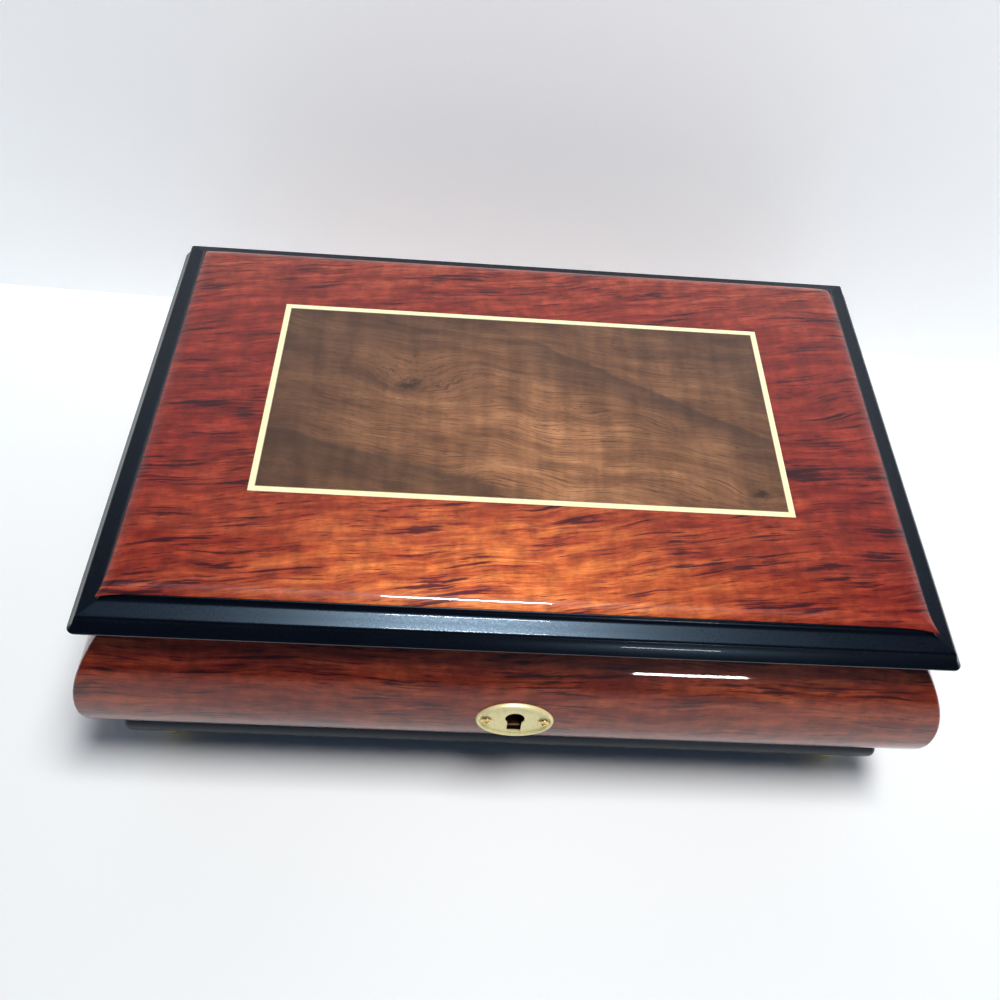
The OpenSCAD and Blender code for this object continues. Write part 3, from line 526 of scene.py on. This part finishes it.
def metal(name, tint, roughness, scratch_along="x", tarnish=0.25):
    """Polished metal with fine brush marks and a little tarnish."""
    g = Graph(name)
    p = g.place()
    scale = tuple(0.25 if a == scratch_along else 6.0 for a in "xyz")
    marks = g.noise(g.stretch(p, scale), 1.0, 3.0, 0.6)
    spots = g.ramp(g.noise(p, 0.45, 4.0, 0.65), (0.45, 0.0), (0.75, tarnish))
    color = g.mix(spots, tint, scaled(tint, 0.45))
    rough = g.math("ADD", g.math("MULTIPLY", marks, 0.16), roughness)
    return g.finish(Base_Color=color, Metallic=1.0, Roughness=rough,
                    Normal=g.bump(marks, 0.00002, 0.35))


def stippled_brass():
    """The escutcheon's pressed brass: bright, with a fine grained ground."""
    g = Graph("pressed_brass")
    p = g.place()
    grain = g.node("ShaderNodeTexVoronoi", {"Vector": p, "Scale": 2.6}).outputs["Distance"]
    spots = g.ramp(g.noise(p, 0.6, 4.0, 0.65), (0.45, 0.0), (0.75, 0.3))
    color = g.mix(spots, (1.0, 0.90, 0.48), (0.70, 0.52, 0.22))
    return g.finish(Base_Color=color, Metallic=0.35, Roughness=0.38,
                    Normal=g.bump(grain, 0.00006, 0.5))


def plain_wood(name, dark, light, along="x", gloss=0.5):
    """Bare or satin wood with straight grain."""
    g = Graph(name)
    p = g.place()
    scale = tuple(1 / 45 if a == along else 1 / 1.6 for a in "xyz")
    wander = g.noise(p, 0.02, 2.0, 0.5)
    grain = g.noise(g.stretch(p, scale), 1.0, 6.0, 0.6, 0.4)
    both = g.math("ADD", grain, g.math("MULTIPLY", g.math("SUBTRACT", wander, 0.5), 0.5))
    color = g.ramp(both, (0.3, dark), (0.7, light))
    return g.finish(Base_Color=color, Roughness=gloss, Normal=g.bump(grain, 0.0001, 0.4))


def velvet(name, dark_z=0.0, light_z=1.0):
    """Short pile: deep red with crushed patches, and painted shade that darkens it down in the folds, between
    two heights.
    """
    g = Graph(name)
    p = g.place()
    crush = g.noise(p, 0.045, 3.0, 0.6)
    color = g.ramp(crush, (0.35, (0.075, 0.004, 0.010)), (0.68, (0.19, 0.012, 0.026)))
    # painted shade: darker towards the lower height, where the folds between the rolls lie
    height = g.math("MULTIPLY", g.math("SUBTRACT", g.split(p)[2], dark_z), 1 / (light_z - dark_z))
    color = g.mix(1.0, color, g.ramp(height, (0.0, 0.12), (0.9, 1.0)), "MULTIPLY")
    pile = g.noise(p, 5.0, 2.0, 0.6)
    return g.finish(Base_Color=color, Roughness=0.9, Specular_IOR_Level=0.15,
                    Sheen_Weight=0.5, Sheen_Roughness=0.35, Sheen_Tint=(0.75, 0.28, 0.32, 1),
                    Normal=g.bump(pile, 0.00025, 0.8))


def clear_pane():
    """Clear sheet with a few faint scratches."""
    g = Graph("clear_sheet")
    p = g.place()
    marks = g.ramp(g.noise(g.stretch(p, (0.05, 3.0, 1)), 1.0, 2.0, 0.5), (0.68, 0.0), (0.78, 0.12))
    return g.finish(Base_Color=(0.95, 0.985, 0.985, 1), Roughness=g.math("ADD", marks, 0.02),
                    IOR=1.49, Transmission_Weight=1.0)


VENEER_LID = veneer("veneer_lid", "yz", "x", lid_painted_light, 0.0, 0.15)
VENEER_LONG = veneer("veneer_long_wall", "zy", "x", wall_shade, 57.0)
VENEER_SHORT = veneer("veneer_short_wall", "zx", "y", wall_shade, 91.0)
WALNUT = walnut()
MAPLE = maple_line()
BLACK = black_lacquer()
BRASS = metal("polished_brass", (0.87, 0.66, 0.30), 0.14)
BRIGHT_BRASS = stippled_brass()
GILT = metal("gilt_cast_plate", (0.80, 0.62, 0.32), 0.30, "y", 0.4)
STEEL = metal("ground_steel", (0.62, 0.63, 0.65), 0.18, "y", 0.2)
BLUED = metal("spring_steel", (0.16, 0.18, 0.24), 0.22, "z", 0.3)
COPPER = metal("copper_post", (0.80, 0.38, 0.22), 0.25)
PINE = plain_wood("sanded_board", (0.34, 0.20, 0.10), (0.52, 0.35, 0.19))
DIVIDER = plain_wood("stained_divider", (0.055, 0.020, 0.010), (0.13, 0.055, 0.028), "x", 0.35)
VELVET = velvet("velvet_pile")
ROLL_VELVET = velvet("velvet_rolls", low("ring_rolls").z / MM, high("ring_rolls").z / MM)
CLEAR = clear_pane()

NODE_MATERIALS = {
    BRASS: ["feet", "escutcheon_screws", "lock_case", "hinge_case_leaves", "hinge_pins",
            "case_hardware_screws", "strike_plate", "lid_screws", "hinge_lid_leaves",
            "winding_key", "barrel", "barrel_cover", "music_cylinder", "cylinder_wheel",
            "first_wheel", "worm_wheel", "air_brake", "cylinder_bracket", "train_plate_inner",
            "train_plate_outer", "governor_frame", "barrel_bridge", "stop_guide", "escutcheon"],
    GILT: ["bedplate"],
    STEEL: ["comb", "comb_screws", "lock_bolt", "winding_arbor", "ratchet_wheel", "click",
            "cylinder_pins", "cylinder_arbor", "first_arbor", "second_arbor", "worm",
            "stop_plunger"],
    BLUED: ["bedplate_screws", "mainspring"],
    PINE: ["bottom_board"],
    DIVIDER: ["divider_front", "divider_side"],
    VELVET: ["floor_lining", "wall_lining", "ring_rolls", "lid_lining"],
    CLEAR: ["movement_pane"],
    VENEER_LONG: ["body_front", "body_back"],
    VENEER_SHORT: ["body_left", "body_right"],
    VENEER_LID: ["lid_veneer"],
    BLACK: ["plinth_front", "plinth_back", "plinth_left", "plinth_right", "lid_board"],
    WALNUT: ["walnut_panel"],
    MAPLE: ["stringing"],
}


def dress_nodes():
    for material, nodes in NODE_MATERIALS.items():
        for node in nodes:
            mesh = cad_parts[node].data
            mesh.materials.clear()
            mesh.materials.append(material)


# ---------------------------------------------------------------- case

def wall_outline():
    """Section of a swelling wall, from the inside face outwards, with eased edges."""
    up = math.degrees(math.asin((WALL_TOP - LAND_H - BULGE_Z) / BULGE_R_UP))
    down = math.degrees(math.asin((BULGE_Z - WALL_Z0) / BULGE_R_DOWN))
    lower = arc(WALL_OUT - BULGE_R_DOWN, BULGE_Z, BULGE_R_DOWN, -down, 0, 20)
    upper = arc(WALL_OUT - BULGE_R_UP, BULGE_Z, BULGE_R_UP, 0, up, 28)[1:]
    top = [(upper[-1][0], WALL_TOP), (0, WALL_TOP)]
    points = [(0, WALL_Z0)] + lower + upper + top
    radii = [0, 0.6 * MM] + [0] * (len(points) - 4) + [0.7 * MM, 0.5 * MM]
    return eased(points, radii)


def keyhole_tool(y0, y1):
    """The round and slotted keyhole, as a solid to cut with."""
    lean = math.degrees(math.asin(SLOT_HALF / KEYHOLE_R))
    outline = arc(0, KEYHOLE_Z, KEYHOLE_R, -90 + lean, 270 - lean, 28)
    outline += [(-SLOT_HALF, SLOT_Z), (SLOT_HALF, SLOT_Z)]
    bm = bmesh.new()
    front = [bm.verts.new((x, y0, z)) for x, z in outline]
    back = [bm.verts.new((x, y1, z)) for x, z in outline]
    bm.faces.new(front)
    bm.faces.new(list(reversed(back)))
    for k in range(len(outline)):
        j = (k + 1) % len(outline)
        bm.faces.new((front[j], front[k], back[k], back[j]))
    return finish_mesh(bm, "keyhole_tool")


def box_tool(lo, hi):
    return block("tool", lo, hi)


def add_walls():
    section = wall_outline()
    corner = 1.0 * MM
    front = side("front_wall", IN_X, IN_Y, section, corner)
    lock_lo, lock_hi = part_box("lock_case")
    cut(front, keyhole_tool(-OUT_Y - 0.01, -IN_Y + 0.001),
        box_tool((lock_lo.x - SLACK, low("strike_plate").y - SLACK, lock_lo.z - SLACK),
                 (lock_hi.x + SLACK, lock_hi.y + 0.005, lock_hi.z + 0.005)))
    back = side("back_wall", IN_X, IN_Y, section, corner, 180)
    leaf_lo, leaf_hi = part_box("hinge_case_leaves")
    leaf_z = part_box("case_hardware_screws")[1].z
    for sx in (-1, 1):
        x0, x1 = sorted((sx * leaf_hi.x, sx * (leaf_hi.x - LEAF_LONG)))
        cut(back, box_tool((x0 - SLACK, leaf_lo.y - SLACK, leaf_z - LEAF_THICK),
                           (x1 + SLACK, leaf_hi.y, leaf_z + 0.01)))
    left = side("left_wall", IN_Y, IN_X, section, corner, -90)
    right = side("right_wall", IN_Y, IN_X, section, corner, 90)
    for piece, node, material in (
            (front, "body_front", VENEER_LONG), (back, "body_back", VENEER_LONG),
            (left, "body_left", VENEER_SHORT), (right, "body_right", VENEER_SHORT)):
        dress(piece, material, "case", [node])


def add_plinth():
    r = 7.4 * MM
    h = PLINTH_Z1 - PLINTH_Z0
    lean = math.degrees(math.asin(h / 2 / r))
    nose = arc(PLINTH_IN - r, PLINTH_Z0 + h / 2, r, -lean, lean, 20)
    points = [(0, PLINTH_Z0)] + nose + [(0, PLINTH_Z1)]
    radii = [0.4 * MM, 0.8 * MM] + [0] * (len(nose) - 2) + [0.5 * MM, 0]
    section = eased(points, radii)
    hx, hy = PLINTH_X - PLINTH_IN, PLINTH_Y - PLINTH_IN
    for name, a, b, turn in (("front", hx, hy, 0), ("back", hx, hy, 180),
                             ("left", hy, hx, -90), ("right", hy, hx, 90)):
        piece = side(name + "_plinth_strip", a, b, section, 2.0 * MM, turn)
        dress(piece, BLACK, "case", ["plinth_" + name])


def add_feet():
    hi = high("feet")
    r = 5.5 * MM
    top = hi.z
    flat = 2.5 * MM
    drop = math.sqrt(r * r - flat * flat)
    ball = arc(0, drop, r, -math.degrees(math.acos(flat / r)), 28, 16)
    outline = [(0, 0)] + ball + [(4.1 * MM, top - 1.6 * MM), (4.4 * MM, top - 1.35 * MM),
                                 (6.1 * MM, top - 1.2 * MM), (6.5 * MM, top - 0.9 * MM),
                                 (6.5 * MM, top - 0.1 * MM), (6.3 * MM, top), (0, top)]
    flange = 6.5 * MM
    feet = [lathe("foot", outline, (sx * (hi.x - flange), sy * (hi.y - flange), 0))
            for sx in (-1, 1) for sy in (-1, 1)]
    dress(join("turned_feet", feet), BRASS, "case", ["feet"])


# ---------------------------------------------------------------- lid

def moulding():
    """The lid's section: (inset from the edge, height above the lower edge)."""
    lip = arc(1.3, 1.3, 1.3, 270, 172, 8)
    edge = arc(4.1, 5.33, 1.2, 162, 98, 8)
    cove = arc(8.2, 9.3, 2.1, 278, 352, 10)
    return [(x * MM, z * MM) for x, z in lip + [(2.0, 3.6)] + edge + [(6.2, 6.85)] + cove]


def ring(name, hx, hy, section, corner, steps=8):
    """A solid slab whose edge follows the section: (inset, height), from its foot to its top."""
    bm = bmesh.new()
    loops = []
    for inset, z in section:
        r = max(corner - inset, 0.25 * MM)
        loop = []
        for cx, cy, a0 in ((1, -1, -90), (1, 1, 0), (-1, 1, 90), (-1, -1, 180)):
            for k in range(steps + 1):
                a = math.radians(a0 + 90 * k / steps)
                x = cx * (hx - inset - r) + r * math.cos(a)
                y = cy * (hy - inset - r) + r * math.sin(a)
                loop.append(bm.verts.new((x, y, z)))
        loops.append(loop)
    skin(bm, loops)
    bm.faces.new(list(reversed(loops[0])))
    bm.faces.new(loops[-1])
    return finish_mesh(bm, name)


def cut_back_off(board):
    """Takes away what stands past the lid's back edge, and closes the wound."""
    bm = bmesh.new()
    bm.from_mesh(board.data)
    cutting = bmesh.ops.bisect_plane(bm, geom=bm.verts[:] + bm.edges[:] + bm.faces[:],
                                     plane_co=(0, LID_BACK, 0), plane_no=(0, 1, 0), clear_outer=True)
    rim = [e for e in cutting["geom_cut"] if isinstance(e, bmesh.types.BMEdge)]
    bmesh.ops.holes_fill(bm, edges=rim)
    bmesh.ops.recalc_face_normals(bm, faces=bm.faces)
    bm.to_mesh(board.data)
    bm.free()


def add_lid_board():
    """The moulded board, with beds for the hinges' leaves and knuckles and for the strike plate."""
    section = [(x, LID_Z + z) for x, z in moulding()]
    section += [(LID_X - FIELD_X, FIELD_Z), (LID_X - FIELD_X + 3 * MM, FIELD_Z)]
    board = ring("lid_moulding", LID_X, LID_Y, section, 2.6 * MM)
    cut_back_off(board)
    leaf_lo, leaf_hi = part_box("hinge_lid_leaves")
    case_hi = high("hinge_case_leaves")
    strike_lo, strike_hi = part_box("strike_plate")
    tools = []
    for sx in (-1, 1):
        x0, x1 = sorted((sx * case_hi.x, sx * (case_hi.x - LEAF_LONG)))
        tools.append(box_tool((x0 - SLACK, leaf_lo.y - SLACK, LID_Z - 0.005),
                              (x1 + SLACK, LID_BACK + 0.005, LID_Z + LEAF_THICK + SLACK)))
        tools.append(box_tool((x0 - 0.4 * MM, leaf_hi.y - 5.4 * MM, LID_Z - 0.005),
                              (x1 + 0.4 * MM, LID_BACK + 0.005, LID_Z + 2.9 * MM)))
    tools.append(box_tool((strike_lo.x - SLACK, strike_lo.y - SLACK, LID_Z - 0.005),
                          (strike_hi.x + SLACK, strike_hi.y + SLACK, LID_Z + LEAF_THICK + SLACK)))
    cut(board, *tools)
    dress(board, BLACK, "lid", ["lid_board"])


def add_field():
    """The veneered field: edges rolled over, front corners drawn out, a window for the inlay."""
    roll = 4.5 * MM
    drop = 1.1 * MM
    near = [roll * (1 - math.cos(math.radians(9 * k))) for k in range(11)]

    def lines(half, window):
        """Grid lines: close together where the edge rolls over, and at the window's sides."""
        edge = near + [near[-1] + 3 * MM, near[-1] + 8 * MM]
        return sorted(set([-half + e for e in edge] + [half - e for e in edge] + list(window)))

    xs = lines(FIELD_X, (INLAY_LOW.x, INLAY_HIGH.x))
    ys = lines(FIELD_Y, (INLAY_LOW.y, INLAY_HIGH.y))
    reach = 4.0 * MM
    flare = {(-1, -1): 1.7 * MM, (1, -1): 1.9 * MM, (-1, 1): -0.5 * MM, (1, 1): -1.1 * MM}

    def point(x, y):
        gap = min(FIELD_X - abs(x), FIELD_Y - abs(y))
        fall = drop * max(0.0, 1 - gap / roll) ** 2
        z = FACE_Z - fall
        px, py = x, y
        for (sx, sy), amount in flare.items():
            away = (FIELD_X - sx * x) + (FIELD_Y - sy * y)
            pull = amount * math.exp(-away / reach)
            px += sx * pull
            py += sy * pull
        return px, py, z

    bm = bmesh.new()
    top = [[bm.verts.new(point(x, y)) for x in xs] for y in ys]
    for j in range(len(ys) - 1):
        for i in range(len(xs) - 1):
            cx = (xs[i] + xs[i + 1]) / 2
            cy = (ys[j] + ys[j + 1]) / 2
            if INLAY_LOW.x < cx < INLAY_HIGH.x and INLAY_LOW.y < cy < INLAY_HIGH.y:
                continue
            bm.faces.new((top[j][i], top[j][i + 1], top[j + 1][i + 1], top[j + 1][i]))
    loose = [v for v in bm.verts if not v.link_faces]
    bmesh.ops.delete(bm, geom=loose, context="VERTS")
    rim = [e for e in bm.edges if e.is_boundary]
    down = bmesh.ops.extrude_edge_only(bm, edges=rim)
    skirt = [v for v in down["geom"] if isinstance(v, bmesh.types.BMVert)]
    for v in skirt:
        v.co.z = FIELD_Z
    field = finish_mesh(bm, "veneered_field", 50)
    dress(field, VENEER_LID, "lid", ["lid_veneer"])


def add_inlay():
    """The pale line round the walnut panel, mitred at its corners."""
    bm = bmesh.new()
    outer = [(INLAY_LOW.x, INLAY_LOW.y), (INLAY_HIGH.x, INLAY_LOW.y),
             (INLAY_HIGH.x, INLAY_HIGH.y), (INLAY_LOW.x, INLAY_HIGH.y)]
    inner = [(PANEL_LOW.x, PANEL_LOW.y), (PANEL_HIGH.x, PANEL_LOW.y),
             (PANEL_HIGH.x, PANEL_HIGH.y), (PANEL_LOW.x, PANEL_HIGH.y)]
    for k in range(4):
        j = (k + 1) % 4
        plan = (outer[k], outer[j], inner[j], inner[k])
        foot = [bm.verts.new((x, y, FIELD_Z)) for x, y in plan]
        face = [bm.verts.new((x, y, FACE_Z)) for x, y in plan]
        bm.faces.new(list(reversed(foot)))
        bm.faces.new(face)
        for a in range(4):
            b = (a + 1) % 4
            bm.faces.new((foot[a], foot[b], face[b], face[a]))
    line = finish_mesh(bm, "inlaid_line")
    dress(line, MAPLE, "lid", ["stringing"])


# ---------------------------------------------------------------- escutcheon

def lean_back():
    """Turns what is built upright at the keyhole plate to lie along the swelling wall."""
    pivot = Matrix.Translation((0, PLATE_LOW.y, (PLATE_LOW.z + PLATE_HIGH.z) / 2))
    return pivot @ Matrix.Rotation(math.radians(-7), 4, "X") @ pivot.inverted()


def add_escutcheon():
    """A pressed oval plate: raised bead at its rim, a ring of short strokes round the keyhole."""
    middle = (PLATE_LOW + PLATE_HIGH) / 2
    half_x = (PLATE_HIGH.x - PLATE_LOW.x) / 2
    half_z = (PLATE_HIGH.z - PLATE_LOW.z) / 2
    thick = 2.2 * MM
    back = PLATE_LOW.y + 0.4 * MM + thick
    steps = 72
    rings = ((0.30, 0.72), (0.62, 0.72), (0.84, 0.70), (0.885, 0.62), (0.90, 0.80), (0.925, 0.97),
             (0.955, 1.0), (0.98, 0.90), (1.0, 0.62), (1.0, 0.0))
    bm = bmesh.new()
    loops = []
    for share, height in rings:
        shrink_x = half_x * share
        shrink_z = half_z - (half_x - shrink_x) if share > 0.6 else half_z * share * 0.9
        loop = []
        for k in range(steps):
            a = 2 * math.pi * k / steps
            loop.append(bm.verts.new((middle.x + shrink_x * math.cos(a), back - thick * height,
                                      middle.z + shrink_z * math.sin(a))))
        loops.append(loop)
    skin(bm, loops)
    bm.faces.new(loops[0])
    bm.faces.new(list(reversed(loops[-1])))
    plate = finish_mesh(bm, "keyhole_plate", 40)
    cut(plate, keyhole_tool(-OUT_Y - 0.01, -OUT_Y + 0.01))
    strokes = plate_strokes(Vector((middle.x, back - thick * 0.70, middle.z)), half_z)
    for piece in (plate, strokes):
        piece.data.transform(lean_back())
    dress(plate, BRIGHT_BRASS, "case", ["escutcheon"])
    dress(strokes, BRIGHT_BRASS, "case", ())


def plate_strokes(middle, half_z):
    """A ring of short raised strokes, long and short by turns, left out where the rim is too near."""
    strokes = []
    count = 40
    ring_x, ring_z = 7.4 * MM, 7.0 * MM
    for k in range(count):
        a = 2 * math.pi * (k + 0.5) / count
        spot = middle + Vector((ring_x * math.cos(a), 0, ring_z * math.sin(a)))
        if abs(spot.z - middle.z) > half_z - 2.2 * MM:
            continue
        length = 0.55 * MM if k % 2 else 0.9 * MM
        stroke = block("stroke", (-length / 2, -0.14 * MM, -0.13 * MM),
                       (length / 2, 0.1 * MM, 0.13 * MM), 0.06 * MM, 2)
        stroke.data.transform(Matrix.Translation(spot) @ Matrix.Rotation(-a, 4, "Y"))
        strokes.append(stroke)
    return join("plate_strokes", strokes)


def dome_screw(name, spot, r, height, turn=0.0):
    """A domed head with a cross recess, facing -Y."""
    dome = [math.radians(a) for a in (15, 30, 45, 60, 75, 88)]
    outline = [(r * math.sin(a), height * (0.35 + 0.65 * math.cos(a))) for a in dome]
    outline = [(0, height)] + outline + [(r, 0), (0, 0)]
    head = lathe(name, outline, (0, 0, 0), 32)
    arm = r * 0.62
    wide = r * 0.13
    tools = [box_tool((-arm, -wide, height * 0.45), (arm, wide, height * 2)),
             box_tool((-wide, -arm, height * 0.45), (wide, arm, height * 2))]
    cut(head, *tools)
    face = Matrix.Rotation(math.radians(90), 4, "X") @ Matrix.Rotation(math.radians(turn), 4, "Z")
    head.data.transform(Matrix.Translation(spot) @ face)
    return head


def add_plate_screws():
    lo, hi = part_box("escutcheon_screws")
    y = PLATE_LOW.y + 0.95 * MM
    z = (lo.z + hi.z) / 2
    r = 1.95 * MM
    heads = [dome_screw("head", Vector((s * (hi.x - 2.0 * MM), y, z)), r, 0.85 * MM, turn)
             for s, turn in ((-1, 20), (1, -12))]
    heads = join("plate_screw_heads", heads)
    heads.data.transform(lean_back())
    dress(heads, BRASS, "case", ["escutcheon_screws"])


def add_keyhole_step():
    """The copper-coloured step that shows at the foot of the keyhole's slot."""
    side_play = 0.2 * MM
    step = block("keyhole_step", (side_play - SLOT_HALF, -OUT_Y + 1.2 * MM, SLOT_Z),
                 (SLOT_HALF - side_play, -OUT_Y + 6 * MM, SLOT_Z + 1.4 * MM), 0.25 * MM)
    dress(step, COPPER, "case", ())


# ---------------------------------------------------------------- soft linings

def add_ring_rolls():
    """Stuffed velvet rolls: round over, settled flat underneath, gathered at their ends."""
    lo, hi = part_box("ring_rolls")
    r = (hi.z - lo.z) / 2
    count = 5
    pitch = (hi.x - lo.x - 2 * r) / (count - 1)
    length = hi.y - lo.y
    around, along = 40, 48
    rolls = []
    for i in range(count):
        bm = bmesh.new()
        rings = []
        for j in range(along + 1):
            t = j / along
            inset = min(t, 1 - t) * length
            shrink = math.sqrt(max(0.0, 1 - max(0.0, 1 - inset / (4 * MM)) ** 2)) * 0.86 + 0.14
            lumps = 0.012 * math.sin(19 * t + 1.7 * i) + 0.010 * math.sin(33 * t + 2.9 * i)
            ring = []
            for k in range(around):
                a = 2 * math.pi * k / around
                pleat = 0.05 * math.cos(10 * a) * math.exp(-inset / (5 * MM))
                reach = r * shrink * (0.97 + lumps - abs(pleat))
                x = reach * math.cos(a)
                z = max(reach * math.sin(a), -0.93 * r)
                ring.append(bm.verts.new((lo.x + r + pitch * i + x, lo.y + t * length, lo.z + r + z)))
            rings.append(ring)
        skin(bm, rings)
        bm.faces.new(rings[0])
        bm.faces.new(list(reversed(rings[-1])))
        rolls.append(finish_mesh(bm, "roll", 60))
    soft = join("stuffed_ring_rolls", rolls)
    dress(soft, ROLL_VELVET, "case", ["ring_rolls"])


def add_lid_pad():
    """The shallow velvet pad in the lid: rolled edges and a slack, slightly uneven middle."""
    lo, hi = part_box("lid_lining")
    columns, rows = 96, 60
    roll = 5 * MM
    deep = hi.z - lo.z
    bm = bmesh.new()
    grid = []
    for j in range(rows + 1):
        y = lo.y + (hi.y - lo.y) * (0.5 - 0.5 * math.cos(math.pi * j / rows))
        line = []
        for i in range(columns + 1):
            x = lo.x + (hi.x - lo.x) * (0.5 - 0.5 * math.cos(math.pi * i / columns))
            gap = min(x - lo.x, hi.x - x, y - lo.y, hi.y - y)
            fall = max(0.0, 1 - gap / roll) ** 2
            slack = 0.10 * (math.sin(41 * x + 23 * y) * math.sin(37 * y - 11 * x) + 1)
            line.append(bm.verts.new((x, y, lo.z + deep * (0.75 * fall + slack * (1 - fall)))))
        grid.append(line)
    for one, two in zip(grid, grid[1:]):
        for i in range(columns):
            bm.faces.new((one[i], two[i], two[i + 1], one[i + 1]))
    rim = [e for e in bm.edges if e.is_boundary]
    up = bmesh.ops.extrude_edge_only(bm, edges=rim)
    for v in up["geom"]:
        if isinstance(v, bmesh.types.BMVert):
            v.co.z = hi.z
    bmesh.ops.holes_fill(bm, edges=[e for e in bm.edges if e.is_boundary])
    pad = finish_mesh(bm, "velvet_lid_pad", 60)
    dress(pad, VELVET, "lid", ["lid_lining"])


def ease_edges():
    """A small round on the edges of the metalwork and the dividers."""
    widths = {0.12 * MM: ("comb", "bedplate", "cylinder_bracket", "train_plate_inner", "strike_plate",
                          "train_plate_outer", "governor_frame", "barrel_bridge", "stop_guide",
                          "lock_case", "lock_bolt", "hinge_case_leaves", "hinge_lid_leaves"),
              0.35 * MM: ("winding_key",),
              0.5 * MM: ("divider_front", "divider_side", "movement_pane")}
    for width, nodes in widths.items():
        for node in nodes:
            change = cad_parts[node].modifiers.new("eased", "BEVEL")
            change.width = width
            change.segments = 2
            change.limit_method = "ANGLE"
            change.angle_limit = math.radians(50)


# ---------------------------------------------------------------- stage, light and camera

def stage_material(name, color, roughness, glow=0.0):
    """Plain matt white that darkens above 0.2 m, which is higher than the photo's view reaches."""
    g = Graph(name)
    p = g.place(1.0)
    tone = g.noise(p, 3.0, 3.0, 0.5)
    shade = g.mix(tone, scaled(color, 0.985), color)
    shade = g.mix(1.0, shade, g.ramp(g.split(p)[2], (0.20, 1.0), (0.40, 0.30)), "MULTIPLY")
    return g.finish(Base_Color=shade, Roughness=roughness, Specular_IOR_Level=0.2,
                    Emission_Color=shade, Emission_Strength=glow)


def room_shade():
    """From the table's white to near black over 0.2 m, so that its mirror image has a soft edge."""
    g = Graph("room_shade")
    depth = g.math("MULTIPLY", g.split(g.place(1.0))[1], -1.0)
    shade = g.ramp(depth, (0.26, (0.62, 0.64, 0.66)), (0.46, (0.012, 0.012, 0.016)))
    return g.finish(Base_Color=shade, Roughness=0.9, Specular_IOR_Level=0.2)


def add_stage():
    """A white table, the wall close behind it, and the dark room that the lacquer mirrors."""
    table = block("table", (-1.2, -1.6, -0.02), (1.2, 0.30, 0))
    table.data.materials.append(stage_material("white_table", (0.84, 0.87, 0.885), 0.5))
    wall = block("backdrop", (-1.2, 0, -0.02), (1.2, 0.02, 0.42))
    wall.location.y = 0.157
    wall.rotation_euler.z = math.radians(-1.8)
    wall.data.materials.append(stage_material("pale_wall", (0.84, 0.86, 0.88), 0.9, 0.40))
    dark = block("dark_room", (-1.2, -1.6, 0.002), (1.2, -0.26, 0.004))
    dark.data.materials.append(room_shade())
    dark.visible_camera = False
    dark.visible_diffuse = False
    dark.visible_shadow = False
    dark.visible_transmission = False


def add_camera():
    elevation = math.radians(52.26)
    azimuth = math.radians(-4.85)
    roll = math.radians(6.69)
    back = Vector((math.sin(azimuth) * math.cos(elevation),
                   -math.cos(azimuth) * math.cos(elevation), math.sin(elevation)))
    right = Vector((math.cos(azimuth), math.sin(azimuth), 0))
    up = back.cross(right)
    side_x = right * math.cos(roll) + up * math.sin(roll)
    side_y = up * math.cos(roll) - right * math.sin(roll)
    camera = bpy.data.objects.new("camera", bpy.data.cameras.new("camera"))
    bpy.context.scene.collection.objects.link(camera)
    turn = Matrix((side_x, side_y, back)).transposed().to_4x4()
    camera.matrix_world = Matrix.Translation((-0.0263, -0.2458, 0.3630)) @ turn
    camera.data.lens = 34.7
    camera.data.sensor_width = 36
    camera.data.clip_start = 0.01
    bpy.context.scene.camera = camera


def lamp(name, place, target, size, power, color=(1, 1, 1)):
    data = bpy.data.lights.new(name, "AREA")
    data.shape = "RECTANGLE"
    data.size, data.size_y = size
    data.energy = power
    data.color = color
    obj = bpy.data.objects.new(name, data)
    bpy.context.scene.collection.objects.link(obj)
    obj.location = place
    obj.rotation_euler = (Vector(target) - Vector(place)).to_track_quat("-Z", "Y").to_euler()
    return obj


def add_light():
    """Soft daylight that the lacquer doesn't mirror, and three lamps seen only as reflections."""
    bpy.context.scene.view_settings.view_transform = "Standard"
    world = bpy.data.worlds.new("room")
    bpy.context.scene.world = world
    world.use_nodes = True
    world.node_tree.nodes["Background"].inputs["Color"].default_value = (0.35, 0.58, 1.0, 1)
    world.node_tree.nodes["Background"].inputs["Strength"].default_value = 0.09
    sky = lamp("daylight", (0.26, -0.15, 1.5), (0, -0.05, 0), (0.60, 0.36), 24, (1.0, 0.985, 0.96))
    front = lamp("fill", (0.1, -1.3, 1.0), (0, 0, 0.05), (1.4, 1.0), 0.3, (1.0, 0.98, 0.96))
    for soft in (sky, front):
        soft.visible_glossy = False
    shine = (
        lamp("tube", (0.013, 0.13, 1.5), (0.01, -0.1, 0.09), (0.30, 0.05), 26, (1.0, 0.97, 0.94)),
        lamp("low_lamp", (0.42, -1.5, 0.22), (0, -0.1, 0.07), (0.20, 0.05), 2.5),
        lamp("ceiling", (0.0, 0.33, 1.52), (0, -0.1, 0.09), (1.4, 0.3), 1.0, (0.40, 0.66, 1.0)))
    for lit in shine:
        lit.visible_diffuse = False


add_camera()
dress_nodes()
add_walls()
add_plinth()
add_feet()
add_lid_board()
add_field()
add_inlay()
add_escutcheon()
add_plate_screws()
add_keyhole_step()
add_ring_rolls()
add_lid_pad()
ease_edges()
add_stage()
add_light()
